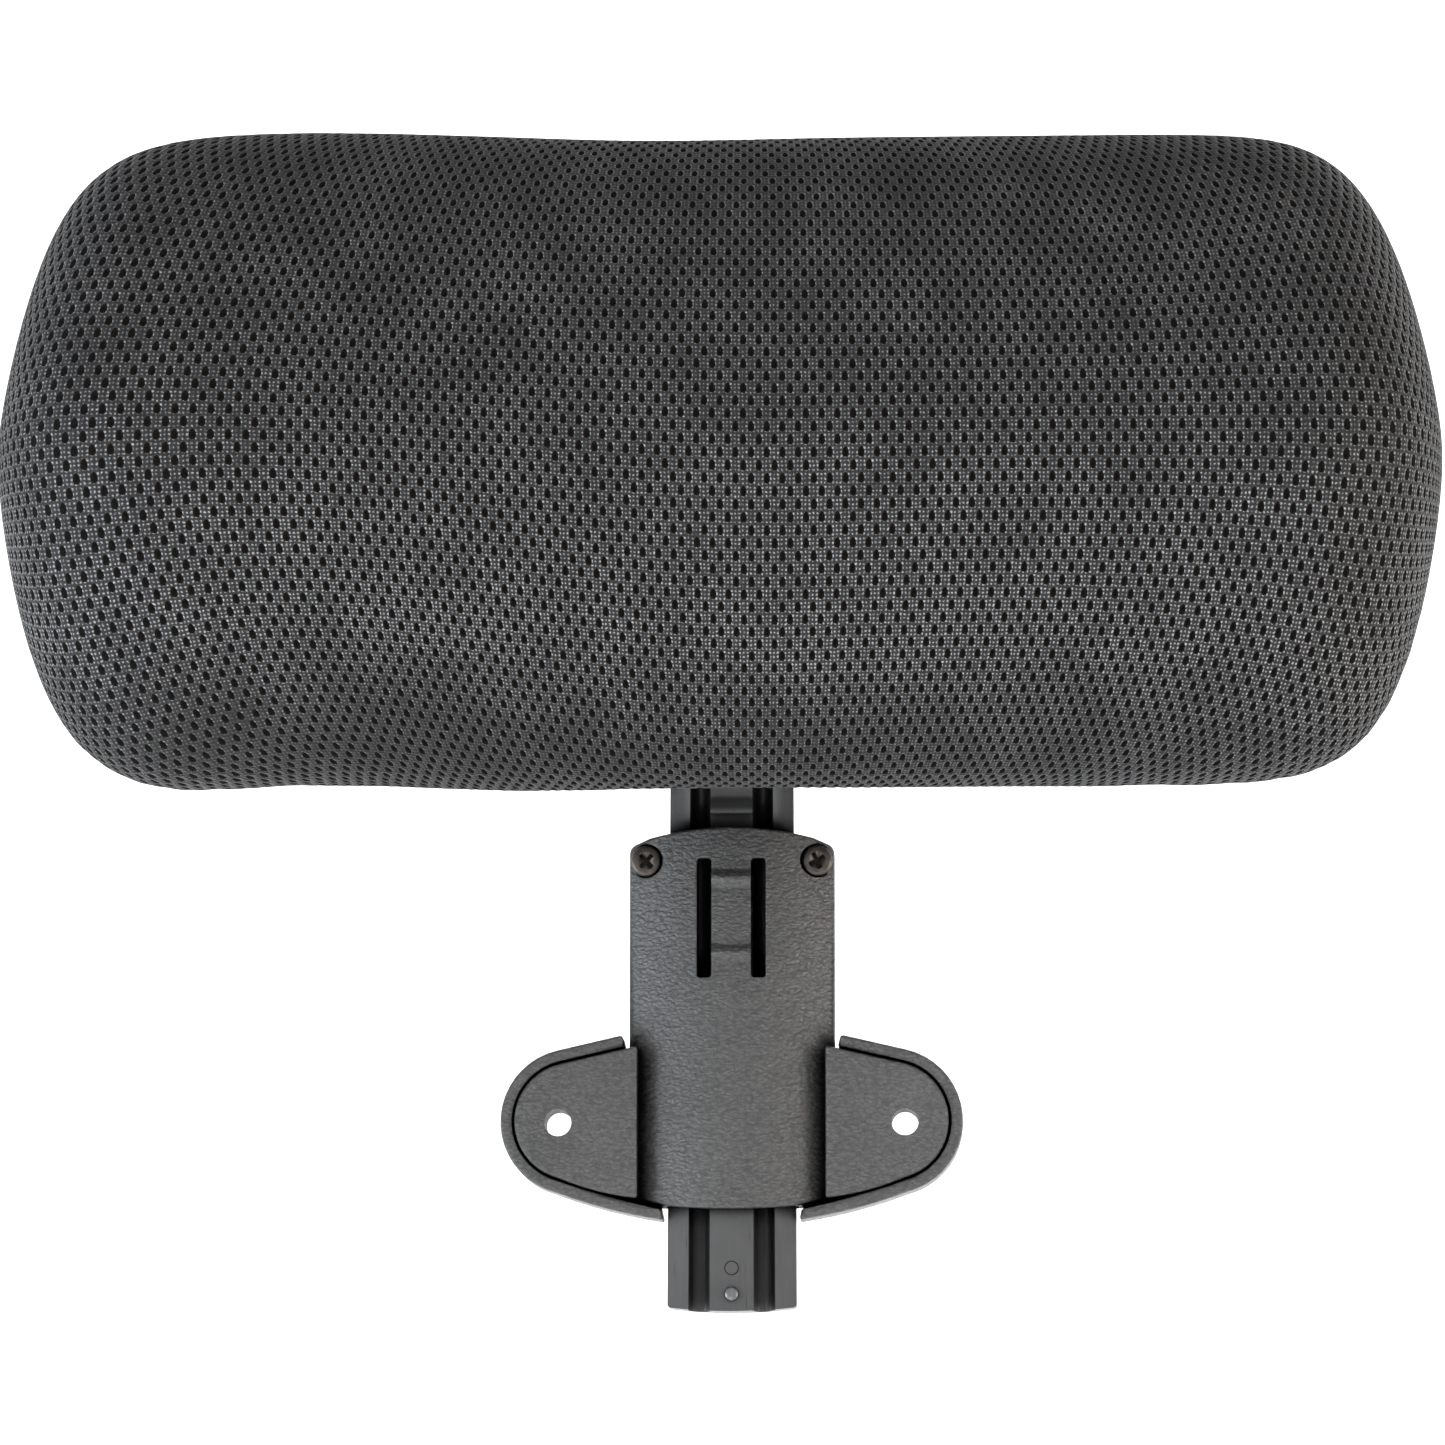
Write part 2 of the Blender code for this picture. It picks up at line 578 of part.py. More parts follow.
def post_pockets():
    """The weight-saving pockets in the back of the bar, with ribs between them."""
    low = POST_LOW_Z + 4.0
    step = (COLLAR_LOW_Z - 2.0 - low) / POCKET_COUNT
    pockets = []
    for i in range(POCKET_COUNT):
        span = (low + i * step, low + (i + 1) * step - POCKET_RIB)
        pockets.append(box((-POCKET_HALF_WIDTH, POCKET_HALF_WIDTH), (POCKET_FLOOR_Y, 30.0), span))
    step = (PIVOT_Z - 11.0 - COLLAR_HIGH_Z) / 3
    for i in range(3):
        span = (COLLAR_HIGH_Z + 1 + i * step, COLLAR_HIGH_Z + 1 + (i + 1) * step - POCKET_RIB)
        pockets.append(box((-NECK_HALF_WIDTH + 3, NECK_HALF_WIDTH - 3), (POCKET_FLOOR_Y - 1, 30.0), span))
    return pockets


def stop_pin(material):
    """The small domed pin that keeps the post from being pulled out of the sleeve."""
    radius = STOP_PIN_DIAMETER / 2
    face = STRIP_Y - GAP
    profile = [(0.0, face - 0.8)]
    for i in range(1, 5):
        angle = math.radians(90 * i / 4)
        profile.append((radius * math.sin(angle), face - 0.8 * math.cos(angle)))
    stem = radius - 0.4
    profile += [(stem, face), (stem, 5.0), (0.0, 5.0)]
    body = turned(profile, "Y", (0.0, STOP_PIN_Z), 16, "stop_pin")
    return shade(body, material)


# ---- Friction hinge ----


def hinge_yoke(material):
    """The plate on the back of the headrest with two ears that hold the pivot bolt."""
    low, high = PIVOT_Z - YOKE_PLATE_HALF_HEIGHT, PIVOT_Z + YOKE_PLATE_HALF_HEIGHT
    half = YOKE_PLATE_HALF_WIDTH
    front = SHELL_BACK_Y + GAP
    corner = 5.0
    outline = []
    for cx, cz, start in ((1, 1, 0), (-1, 1, 90), (-1, -1, 180), (1, -1, 270)):
        centre = (cx * (half - corner), PIVOT_Z + cz * (YOKE_PLATE_HALF_HEIGHT - corner))
        outline += circle(corner, centre, 6, start, 90.0)
    body = prism(outline, "Y", front, YOKE_PLATE_BACK_Y, "hinge_yoke")
    round_edges(body, 0.6, 2, 50.0)
    for side in (-1, 1):
        near, far = sorted((side * EAR_INNER_X, side * EAR_OUTER_X))
        arc = circle(EAR_RADIUS, (PIVOT_Y, PIVOT_Z), 13, 100.0, -200.0)
        foot = [(YOKE_PLATE_BACK_Y - 1, low + 5), (YOKE_PLATE_BACK_Y - 1, high - 5)]
        ear = prism(arc + foot, "X", near, far)
        round_edges(ear, 0.6, 1, 50.0)
        combine(body, [ear], "UNION")
    tools = [rod(BORE_DIAMETER, "X", -40.0, 40.0, (PIVOT_Y, PIVOT_Z), 24)]
    for x, z in screw_places(YOKE_SCREW_X, YOKE_SCREW_Z, PIVOT_Z):
        tools.append(rod(YOKE_SCREW_DIAMETER + 2 * GAP, "Y", front - 5, 0.0, (x, z), 20))
    combine(body, tools)
    return shade(body, material)


def screw_places(x, z, centre_z):
    return [(x, centre_z + z), (-x, centre_z + z), (-x, centre_z - z), (x, centre_z - z)]


def pivot_bolt(material):
    """A hex-socket bolt through both ears and the knuckle, its head on the left."""
    radius = BOLT_DIAMETER / 2
    head = BOLT_HEAD_DIAMETER / 2
    seat = -(EAR_OUTER_X + GAP)
    end = EAR_OUTER_X + SPRING_WASHER_THICKNESS + NUT_HEIGHT + 3 * GAP
    profile = [(0.0, seat - BOLT_HEAD_HEIGHT), (head - 0.6, seat - BOLT_HEAD_HEIGHT)]
    profile += [(head, seat - BOLT_HEAD_HEIGHT + 0.6), (head, seat), (radius, seat)]
    profile += [(radius, end), (radius - 0.6, end + 0.6), (0.0, end + 0.6)]
    body = turned(profile, "X", (PIVOT_Y, PIVOT_Z), 18, "pivot_bolt")
    socket = rod(5.8, "X", seat - 9.0, seat - BOLT_HEAD_HEIGHT + 2.5, (PIVOT_Y, PIVOT_Z), 6)
    combine(body, [socket])
    return shade(body, material)


def friction_washer(side, name, material):
    near, far = sorted((side * (NECK_HALF_WIDTH + GAP), side * (NECK_HALF_WIDTH + GAP + WASHER_THICKNESS)))
    return shade(ring(WASHER_DIAMETER, BORE_DIAMETER, "X", near, far, (PIVOT_Y, PIVOT_Z), 20, name), material)


def spring_washer(material):
    low = EAR_OUTER_X + GAP
    high = low + SPRING_WASHER_THICKNESS
    centre = (PIVOT_Y, PIVOT_Z)
    body = ring(SPRING_WASHER_DIAMETER, BORE_DIAMETER, "X", low, high, centre, 18, "spring_washer")
    return shade(body, material)


def pivot_nut(material):
    """A hexagon nut with chamfered corners."""
    low = EAR_OUTER_X + SPRING_WASHER_THICKNESS + 2 * GAP
    radius = NUT_ACROSS_FLATS / 2 / math.cos(math.radians(30))
    body = rod(2 * radius, "X", low, low + NUT_HEIGHT, (PIVOT_Y, PIVOT_Z), 6, "pivot_nut")
    dome = [(0.0, low - 1), (radius * 1.1, low - 1), (radius * 1.1, low + NUT_HEIGHT - 1.2)]
    dome += [(radius * 0.86, low + NUT_HEIGHT), (0.0, low + NUT_HEIGHT)]
    combine(body, [turned(dome, "X", (PIVOT_Y, PIVOT_Z), 18)], "INTERSECT")
    combine(body, [rod(BORE_DIAMETER, "X", low - 5, low + 20, (PIVOT_Y, PIVOT_Z), 16)])
    return shade(body, material)


def hinge_cap(side, depth, name, material):
    """A moulded cup that covers the bolt head or the nut."""
    inner = EAR_OUTER_X + GAP
    radius = SPRING_WASHER_DIAMETER / 2 + 1.2
    outer = radius + CAP_WALL
    profile = [(0.0, inner + depth), (outer - 1.5, inner + depth), (outer - 0.5, inner + depth - 0.5)]
    profile += [(outer, inner + depth - 1.5), (outer, inner), (radius, inner)]
    profile += [(radius, inner + depth - CAP_WALL), (0.0, inner + depth - CAP_WALL)]
    profile = [(reach, side * along) for reach, along in profile]
    return shade(turned(profile, "X", (PIVOT_Y, PIVOT_Z), 20, name), material)


# ---- Headrest ----


def unit_outline():
    """Points round the cushion's front view on a half width and half height of 1.

    The ends are bowed and the long sides nearly straight. Half of the spacing follows length and half
    follows turning, so that the corners get more points.
    """
    turn = np.linspace(0.0, 2 * math.pi, 4001)
    x = np.sign(np.cos(turn)) * np.abs(np.cos(turn)) ** (2 / END_EXPONENT)
    z = np.sign(np.sin(turn)) * np.abs(np.sin(turn)) ** (2 / SIDE_EXPONENT)
    step_x = np.diff(x) * CUSHION_HALF_WIDTH
    step_z = np.diff(z) * CUSHION_HALF_HEIGHT
    length = np.cumsum(np.hypot(step_x, step_z))
    heading = np.unwrap(np.arctan2(step_z, step_x))
    turned_by = np.cumsum(np.abs(np.diff(heading, prepend=heading[0])))
    share = np.concatenate([[0.0], length / length[-1] + turned_by / turned_by[-1]]) / 2
    marks = np.linspace(0.0, 1.0, OUTLINE_POINTS, endpoint=False)
    return list(zip(np.interp(marks, share, x), np.interp(marks, share, z)))


def cushion_ring(y, half_width, half_height):
    return [Vector((x * half_width, y, CUSHION_Z + z * half_height)) for x, z in unit_outline()]


def front_rings(inset):
    """Rings of the domed front, from the silhouette to a narrow flat strip at the very front."""
    rings = []
    for degrees in FRONT_RING_DEGREES:
        turn = math.radians(degrees)
        width = CUSHION_HALF_WIDTH - inset - END_PULL_IN * (1 - math.cos(turn)) ** 1.2
        height = (CUSHION_HALF_HEIGHT - inset) * math.cos(turn)
        rings.append(cushion_ring(SILHOUETTE_Y - (FRONT_DEPTH - inset) * math.sin(turn), width, height))
    return rings


def side_ring(y, inset):
    return cushion_ring(y, CUSHION_HALF_WIDTH - inset, CUSHION_HALF_HEIGHT - inset)


def mesh_cover(material):
    """The fabric cover: a domed bag that folds in behind the core board, with its opening at the back."""
    back = COVER_BACK_Y
    wall = COVER_THICKNESS
    inner_back = BOARD_BACK_Y + GAP
    outer = [side_ring(back, COVER_OPENING_INSET), side_ring(back, 10.0), side_ring(back - 2.5, 5.0)]
    outer += [side_ring(back - 6.5, 1.6)] + front_rings(0.0)
    inner = front_rings(wall)[::-1]
    inner += [side_ring(inner_back - 3.0, 5.0), side_ring(inner_back, 8.0)]
    inner.append(side_ring(inner_back, COVER_OPENING_INSET))
    data = bmesh.new()
    loops = [[data.verts.new(point) for point in loop] for loop in outer + inner]
    last = len(outer)
    for k, loop in enumerate(loops):
        if k == last - 1:
            data.faces.new(loop)
            continue
        after = loops[(k + 1) % len(loops)]
        if k == last:
            data.faces.new(loop[::-1])
        for i in range(OUTLINE_POINTS):
            j = (i + 1) % OUTLINE_POINTS
            data.faces.new((loop[i], loop[j], after[j], after[i]))
    return shade(add_object("mesh_cover", data), material, 50.0)


def foam_pad(material):
    """The foam block, glued to the core board's front."""
    inset = COVER_THICKNESS + 2 * GAP
    rings = [side_ring(FOAM_BACK_Y, inset + 1.5)] + front_rings(inset)
    return shade(loft(rings, "foam_pad"), material, 50.0)


def core_board(material):
    """The plywood board that the foam is glued to, with seats for the tee nuts."""
    body = loft([side_ring(BOARD_FRONT_Y, BOARD_INSET), side_ring(BOARD_BACK_Y, BOARD_INSET)], "core_board")
    flange_seat = BOARD_FRONT_Y + TEE_FLANGE_THICKNESS + 2 * GAP
    tools = []
    for x, z in screw_places(YOKE_SCREW_X, YOKE_SCREW_Z, PIVOT_Z):
        tools.append(rod(TEE_NUT_DIAMETER + 2 * GAP, "Y", BOARD_FRONT_Y - 5, flange_seat, (x, z), 12))
        tools.append(rod(TEE_SLEEVE_DIAMETER + 2 * GAP, "Y", BOARD_FRONT_Y - 5, 0.0, (x, z), 12))
    for x, z in screw_places(SHELL_SCREW_X, SHELL_SCREW_Z, CUSHION_Z):
        tools.append(rod(SCREW_SHANK_DIAMETER + 2 * GAP, "Y", BOARD_BACK_Y - 4.5, 0.0, (x, z), 10))
    combine(body, tools)
    return shade(body, material)


def rear_shell(material):
    """The moulded back cover: a shallow dish whose edge covers the fabric's folded rim."""
    body = loft(
        [
            side_ring(SHELL_FRONT_Y, SHELL_INSET),
            side_ring(SHELL_FRONT_Y + 1.2, SHELL_INSET),
            side_ring(SHELL_BACK_Y - 1.2, SHELL_INSET + 2.5),
            side_ring(SHELL_BACK_Y - 0.4, SHELL_INSET + 4.0),
            side_ring(SHELL_BACK_Y, SHELL_INSET + 7.0),
        ],
        "rear_shell",
    )
    hollow = loft(
        [
            side_ring(SHELL_FRONT_Y - 5.0, SHELL_INSET + 2.2),
            side_ring(SHELL_FRONT_Y + 0.6, SHELL_INSET + 2.4),
            side_ring(SHELL_BACK_Y - SHELL_WALL, SHELL_INSET + 5.5),
        ]
    )
    pillars = []
    for x, z in shell_holes():
        pillars.append(rod(11.0, "Y", SHELL_FRONT_Y - 9.0, SHELL_BACK_Y + 9.0, (x, z), 14))
    combine(hollow, pillars)
    combine(body, [hollow])
    bosses = []
    for x, z in shell_holes():
        bosses.append(rod(11.0, "Y", BOARD_BACK_Y + GAP, SHELL_BACK_Y - 1.0, (x, z), 14))
    combine(body, bosses, "UNION")
    tools = []
    for x, z in screw_places(YOKE_SCREW_X, YOKE_SCREW_Z, PIVOT_Z):
        tools.append(rod(YOKE_SCREW_DIAMETER + 2 * GAP, "Y", -60.0, 0.0, (x, z), 12))
    for x, z in screw_places(SHELL_SCREW_X, SHELL_SCREW_Z, CUSHION_Z):
        tools.append(rod(SCREW_SHANK_DIAMETER + 2 * GAP, "Y", -60.0, 0.0, (x, z), 12))
        seat = SHELL_BACK_Y - SHELL_SCREW_SINK
        tools.append(rod(WOOD_SCREW_HEAD_DIAMETER + 0.8, "Y", seat, 0.0, (x, z), 24))
    combine(body, tools)
    return shade(body, material)


def shell_holes():
    places = screw_places(YOKE_SCREW_X, YOKE_SCREW_Z, PIVOT_Z)
    return places + screw_places(SHELL_SCREW_X, SHELL_SCREW_Z, CUSHION_Z)


def cover_screw(name, head_y, length, shank_diameter, centre, material):
    """A pan-head screw driven from behind; head_y is the plane its head rests on."""
    radius = WOOD_SCREW_HEAD_DIAMETER / 2
    shank = shank_diameter / 2
    seat = head_y + GAP
    profile = [(0.0, seat + 2.0), (radius * 0.55, seat + 2.0), (radius * 0.85, seat + 1.6)]
    profile += [(radius, seat + 0.9), (radius, seat), (shank, seat), (shank, seat - length + 0.8)]
    profile += [(shank * 0.5, seat - length), (0.0, seat - length)]
    body = turned(profile, "Y", centre, 14, name)
    arms = []
    for wide, tall in ((0.4, 1.9), (1.9, 0.4)):
        x_range = (centre[0] - wide, centre[0] + wide)
        z_range = (centre[1] - tall, centre[1] + tall)
        arms.append(box(x_range, (seat + 1.0, seat + 5.0), z_range))
    combine(body, arms)
    return shade(body, material)


def tee_nut(name, centre, material):
    """A flanged sleeve nut let into the front of the core board."""
    data = bmesh.new()
    front = BOARD_FRONT_Y + GAP
    flange_back = front + TEE_FLANGE_THICKNESS
    end = BOARD_BACK_Y - GAP
    bore = YOKE_SCREW_DIAMETER + 2 * GAP
    corners = ((TEE_NUT_DIAMETER, front), (TEE_NUT_DIAMETER, flange_back), (TEE_SLEEVE_DIAMETER, flange_back))
    corners += ((TEE_SLEEVE_DIAMETER, end), (bore, end), (bore, front))
    loops = []
    for diameter, along in corners:
        points = circle(diameter / 2, centre, TEE_NUT_SIDES)
        loops.append([data.verts.new(place("Y", along, *point)) for point in points])
    for k, loop in enumerate(loops):
        after = loops[(k + 1) % len(loops)]
        for i in range(TEE_NUT_SIDES):
            j = (i + 1) % TEE_NUT_SIDES
            data.faces.new((loop[i], loop[j], after[j], after[i]))
    return shade(add_object(name, data), material)


# ---- Assembly ----


def hold(parent, children):
    """Parents the pieces to an empty without moving them."""
    for child in children:
        child.parent = parent
        child.matrix_parent_inverse = parent.matrix_world.inverted()


def axis_empty(name, y, z):
    empty = bpy.data.objects.new(name, None)
    empty.matrix_world = Matrix.Translation(Vector((0.0, y, z)) * MM)
    bpy.context.scene.collection.objects.link(empty)
    return empty


def main():
    clear_scene()
    housing = finish("moulded_housing", (0.125, 0.125, 0.128), 0.5)
    bar = finish("moulded_post", (0.13, 0.13, 0.132), 0.42)
    dark_steel = finish("black_oxide_steel", (0.035, 0.03, 0.028), 0.4, 1.0)
    bright_steel = finish("zinc_steel", (0.6, 0.6, 0.58), 0.35, 1.0)
    nylon = finish("friction_nylon", (0.5, 0.48, 0.42), 0.55)
    cap = finish("moulded_cap", (0.03, 0.03, 0.031), 0.45)
    shell = finish("moulded_shell", (0.03, 0.03, 0.031), 0.5)
    board = finish("plywood", (0.5, 0.36, 0.2), 0.7)
    foam = finish("foam", (0.75, 0.7, 0.6), 0.9)
    fabric = finish("spacer_mesh", (0.045, 0.045, 0.047), 0.85)

    front_housing(housing)
    rear_housing(housing)
    housing_screw("housing_screw_left", -1, 45.0, dark_steel)
    housing_screw("housing_screw_right", 1, 28.0, dark_steel)

    slider = [slide_post(bar), stop_pin(bar)]
    hold(axis_empty("slide_axis", 0.0, 0.0), slider)

    swinging = [
        hinge_yoke(dark_steel),
        pivot_bolt(bright_steel),
        pivot_nut(bright_steel),
        spring_washer(bright_steel),
        friction_washer(-1, "friction_washer_left", nylon),
        friction_washer(1, "friction_washer_right", nylon),
        hinge_cap(-1, BOLT_HEAD_HEIGHT + 3.0, "bolt_cap", cap),
        hinge_cap(1, SPRING_WASHER_THICKNESS + NUT_HEIGHT + 4.0, "nut_cap", cap),
        rear_shell(shell),
        core_board(board),
        foam_pad(foam),
        mesh_cover(fabric),
    ]
    for number, centre in enumerate(screw_places(YOKE_SCREW_X, YOKE_SCREW_Z, PIVOT_Z), 1):
        name = f"yoke_screw_{number}"
        size = (YOKE_SCREW_LENGTH, YOKE_SCREW_DIAMETER)
        swinging.append(cover_screw(name, YOKE_PLATE_BACK_Y, *size, centre, bright_steel))
        swinging.append(tee_nut(f"tee_nut_{number}", centre, bright_steel))
    for number, centre in enumerate(screw_places(SHELL_SCREW_X, SHELL_SCREW_Z, CUSHION_Z), 1):
        name = f"shell_screw_{number}"
        size = (SHELL_SCREW_LENGTH, SCREW_SHANK_DIAMETER)
        swinging.append(cover_screw(name, SHELL_BACK_Y - SHELL_SCREW_SINK, *size, centre, dark_steel))
    hold(axis_empty("tilt_axis", PIVOT_Y, PIVOT_Z), swinging)


main()
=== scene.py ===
"""The looks of the chair headrest attachment: knitted spacer mesh over a foam cushion, on a moulded bracket.

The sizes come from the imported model. Lengths in the functions are millimetres unless a name says metres,
in the model's frame: X across, Y from front to back, Z up.
"""

import json
import math

import bmesh
import bpy
import numpy as np
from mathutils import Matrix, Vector

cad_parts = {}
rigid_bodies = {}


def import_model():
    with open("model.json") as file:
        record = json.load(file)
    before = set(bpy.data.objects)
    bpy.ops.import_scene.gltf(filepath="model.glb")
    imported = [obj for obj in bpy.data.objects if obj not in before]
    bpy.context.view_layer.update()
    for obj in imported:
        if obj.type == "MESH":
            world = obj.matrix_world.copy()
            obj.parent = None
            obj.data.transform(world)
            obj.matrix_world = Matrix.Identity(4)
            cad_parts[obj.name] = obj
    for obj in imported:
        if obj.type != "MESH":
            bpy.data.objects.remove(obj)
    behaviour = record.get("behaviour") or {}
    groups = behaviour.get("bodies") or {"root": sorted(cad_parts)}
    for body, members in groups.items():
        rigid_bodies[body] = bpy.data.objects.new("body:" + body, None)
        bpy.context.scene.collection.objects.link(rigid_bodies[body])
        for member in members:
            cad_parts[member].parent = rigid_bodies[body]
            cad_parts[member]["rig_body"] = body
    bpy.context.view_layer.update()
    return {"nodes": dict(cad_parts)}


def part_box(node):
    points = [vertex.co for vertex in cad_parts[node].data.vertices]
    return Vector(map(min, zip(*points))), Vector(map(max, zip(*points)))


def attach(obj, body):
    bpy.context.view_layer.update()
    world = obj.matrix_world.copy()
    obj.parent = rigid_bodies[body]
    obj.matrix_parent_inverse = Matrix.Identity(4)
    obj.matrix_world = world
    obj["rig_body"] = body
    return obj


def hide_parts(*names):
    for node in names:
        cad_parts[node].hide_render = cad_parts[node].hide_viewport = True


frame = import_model()

MM = 0.001
COVER_BOX = [np.array(corner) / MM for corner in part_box("mesh_cover")]
FOAM_BOX = [np.array(corner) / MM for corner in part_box("foam_pad")]
SHELL_BOX = [np.array(corner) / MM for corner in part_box("rear_shell")]

# Form of the cushion: a superellipse outline at the rim plane, domed in front and rounded over behind.
BACK_DEPTH = 12.4
RIM_Y = COVER_BOX[1][1] - BACK_DEPTH
TOP_SLACK = 0.4
BOTTOM_SLACK = 1.1
TOP_Z = COVER_BOX[1][2] - TOP_SLACK
BOTTOM_Z = COVER_BOX[0][2] + BOTTOM_SLACK
CENTRE = np.array([(COVER_BOX[0][0] + COVER_BOX[1][0]) / 2, RIM_Y, (TOP_Z + BOTTOM_Z) / 2])
HALF_WIDTH = (COVER_BOX[1][0] - COVER_BOX[0][0]) / 2
HALF_HEIGHT = (TOP_Z - BOTTOM_Z) / 2
FRONT_DEPTH = RIM_Y - COVER_BOX[0][1]
END_POWER = 14.2
SIDE_POWER = 1.1
BLEND_POWER = 1.21
SIDE_SOFTNESS = 0.12
FRONT_POWER = 2.0
BACK_POWER = 6.0

# Fabric sheet: its grid, and how far it runs on past the rim to be tucked under the shell.
GRID_STEP = 6.0
GRID_HALF = (40, 23)
SHEET_POWER = 4.4
SHEET_OVERLAP = 39.0
SHELL_OVERLAP = 4.0
SHELL_END_POWER = 9.5
SHELL_SIDE_POWER = 1.65
PATH_MARKS = 80
PUSH_STIFFNESS = 0.35
OVER_RELAXATION = 1.3
FAIRING = 0.02
GATHER_START = 2.0

# Cloth simulation, and how far it may move the fabric in and out.
CLOTH_FRAMES = 20
CLOTH_SETTINGS = {
    "quality": 6,
    "mass": 0.3,
    "use_pressure": True,
    "uniform_pressure_force": 4.0,
    "tension_stiffness": 40.0,
    "compression_stiffness": 40.0,
    "shear_stiffness": 20.0,
    "bending_stiffness": 2.0,
}
HELD_START = 8.0
SETTLE_LIMIT = 0.25
SWELL_LIMIT = 1.2

# Uneven stuffing. Each swelling has its height, then its middle and its spread along X. Those of the front
# have a lean as well, and a middle and a spread along Z.
TOP_SWELLS = ((1.9, -96, 50), (-0.6, -15, 30))
BOTTOM_SWELLS = ((1.0, -124, 16), (-0.9, -86, 26), (0.5, -45, 22))
END_SWELLS = ((2.0, -160, 26),)
FRONT_SWELLS = ((1.3, 0.0, -95, 42, 18, 34), (-1.6, 0.35, -28, 24, -8, 46), (0.9, 0.0, 88, 60, 0, 40))
SIDE_SHIFT = 1.4
TOP_NARROWING = 0.01
# Behind the rim the fabric is drawn up to the shell, from this far behind it and over this much depth.
LIFT_START = 6.5
LIFT_SPAN = 3.5

# Knitted lattice: its cells, the hole in each and the loops between the holes.
HOLE_PITCH = 3.62
ROW_STEP = 2.86
CELL_TOP = 1.98
HOLE_HALF_WIDTH = 0.80
HOLE_HALF_HEIGHT = 1.26
HOLE_TAPER = 0.22
HOLE_DEPTH = 1.5
RIM_DEPTH = 0.16
RIM_POINTS = 10
FABRIC_THICKNESS = 2.0
PANEL_SPLIT = 8.0
LOOP_WIDTH = HOLE_PITCH / 4
LOOP_HEIGHT = ROW_STEP / 3
# How strongly the loops stand out in colour, from the fabric's lower edge (0) to its upper edge (1), where it
# lies smooth; the ramp also paints shade, darker towards the top.
LOOP_SMOOTHING_AND_SHADE = ((0.04, 0.3), (0.14, 0.55), (0.27, 1.0), (0.42, 0.88), (0.56, 0.7), (0.74, 0.42), (0.88, 0.15))

# Foam and board inside the cover.
FOAM_INSET = 3.7
FOAM_CHAMFER = 1.2
FOAM_POINTS = 144
# The share of the board's width, thickness and height that is left inside the folded fabric.
BOARD_TRIM = np.array((0.98, 1.0, 0.96))

# How far away the cushion still shades the plastic under it.
OVERHANG_REACH = 45.0
SHARP_ANGLE = 42.0


# ---- Materials ----


class Shader:
    """A small node tree: node() adds a node and sets or links its inputs by name or number."""

    def __init__(self, name, **surface):
        self.material = bpy.data.materials.new(name)
        self.material.use_nodes = True
        self.tree = self.material.node_tree
        self.tree.nodes.clear()
        self.surface = self.node("BsdfPrincipled", **surface)
        out = self.node("OutputMaterial")
        self.link(self.surface.outputs["BSDF"], out.inputs["Surface"])

    def link(self, source, target):
        self.tree.links.new(source, target)

    def set(self, node, name, value):
        key = int(name[1:]) if name[0] == "i" and name[1:].isdigit() else name.replace("_", " ")
        socket = node.inputs[key]
        if isinstance(value, bpy.types.NodeSocket):
            self.link(value, socket)
        elif socket.type == "RGBA" and len(value) == 3:
            socket.default_value = (*value, 1.0)
        else:
            socket.default_value = value

    def node(self, kind, settings=None, **inputs):
        made = self.tree.nodes.new("ShaderNode" + kind)
        for name, value in (settings or {}).items():
            setattr(made, name, value)
        for name, value in inputs.items():
            self.set(made, name, value)
        return made

    def place(self):
        return self.node("TexCoord").outputs["Object"]

    def attribute(self, name):
        return self.node("Attribute", {"attribute_name": name}).outputs["Vector"]

    def noise(self, place, scale, detail=3.0, roughness=0.55):
        made = self.node("TexNoise", Vector=place, Scale=scale, Detail=detail, Roughness=roughness)
        return made.outputs["Fac"]

    def cells(self, place, scale):
        return self.node("TexVoronoi", Vector=place, Scale=scale).outputs["Distance"]

    def math(self, operation, a, b=0.5):
        return self.node("Math", {"operation": operation}, i0=a, i1=b).outputs["Value"]

    def remap(self, value, low, high, to_low, to_high):
        made = self.node("MapRange", Value=value)
        for name, number in (("From Min", low), ("From Max", high), ("To Min", to_low), ("To Max", to_high)):
            made.inputs[name].default_value = number
        return made.outputs["Result"]

    def ramp(self, value, *stops):
        made = self.node("ValToRGB", Fac=value)
        elements = made.color_ramp.elements
        elements[0].position, elements[1].position = stops[0][0], stops[-1][0]
        for position, _ in stops[1:-1]:
            elements.new(position)
        for element, (_, colour) in zip(elements, stops):
            element.color = (*colour, 1.0)
        return made.outputs["Color"]

    def bump(self, height, strength, distance_mm, normal=None):
        inputs = {"Height": height, "Strength": strength, "Distance": distance_mm * MM}
        if normal is not None:
            inputs["Normal"] = normal
        return self.node("Bump", **inputs).outputs["Normal"]

    def rounded_normal(self, radius_mm):
        return self.node("Bevel", {"samples": 4}, Radius=radius_mm * MM).outputs["Normal"]

    def painted_shade(self, reach_mm, floor, closed=0.3, opened=0.95):
        """Painted shade: 1 on open surfaces, falling to floor down in grooves and slots, where shade gathers.
        """
        share = self.node("AmbientOcclusion", {"samples": 6}, Distance=reach_mm * MM).outputs["AO"]
        return self.remap(share, closed, opened, floor, 1.0)

    def under_cushion(self):
        """The soft shade that the cushion throws on the plastic below it."""
        return self.painted_shade(OVERHANG_REACH, 0.3, 0.42, 0.8)

    def scaled(self, colour, amount):
        made = self.node("VectorMath", {"operation": "SCALE"}, i0=colour)
        self.link(amount, made.inputs["Scale"])
        return made.outputs[0]

    def finish(self, **surface):
        for name, value in surface.items():
            self.set(self.surface, name, value)
        return self.material


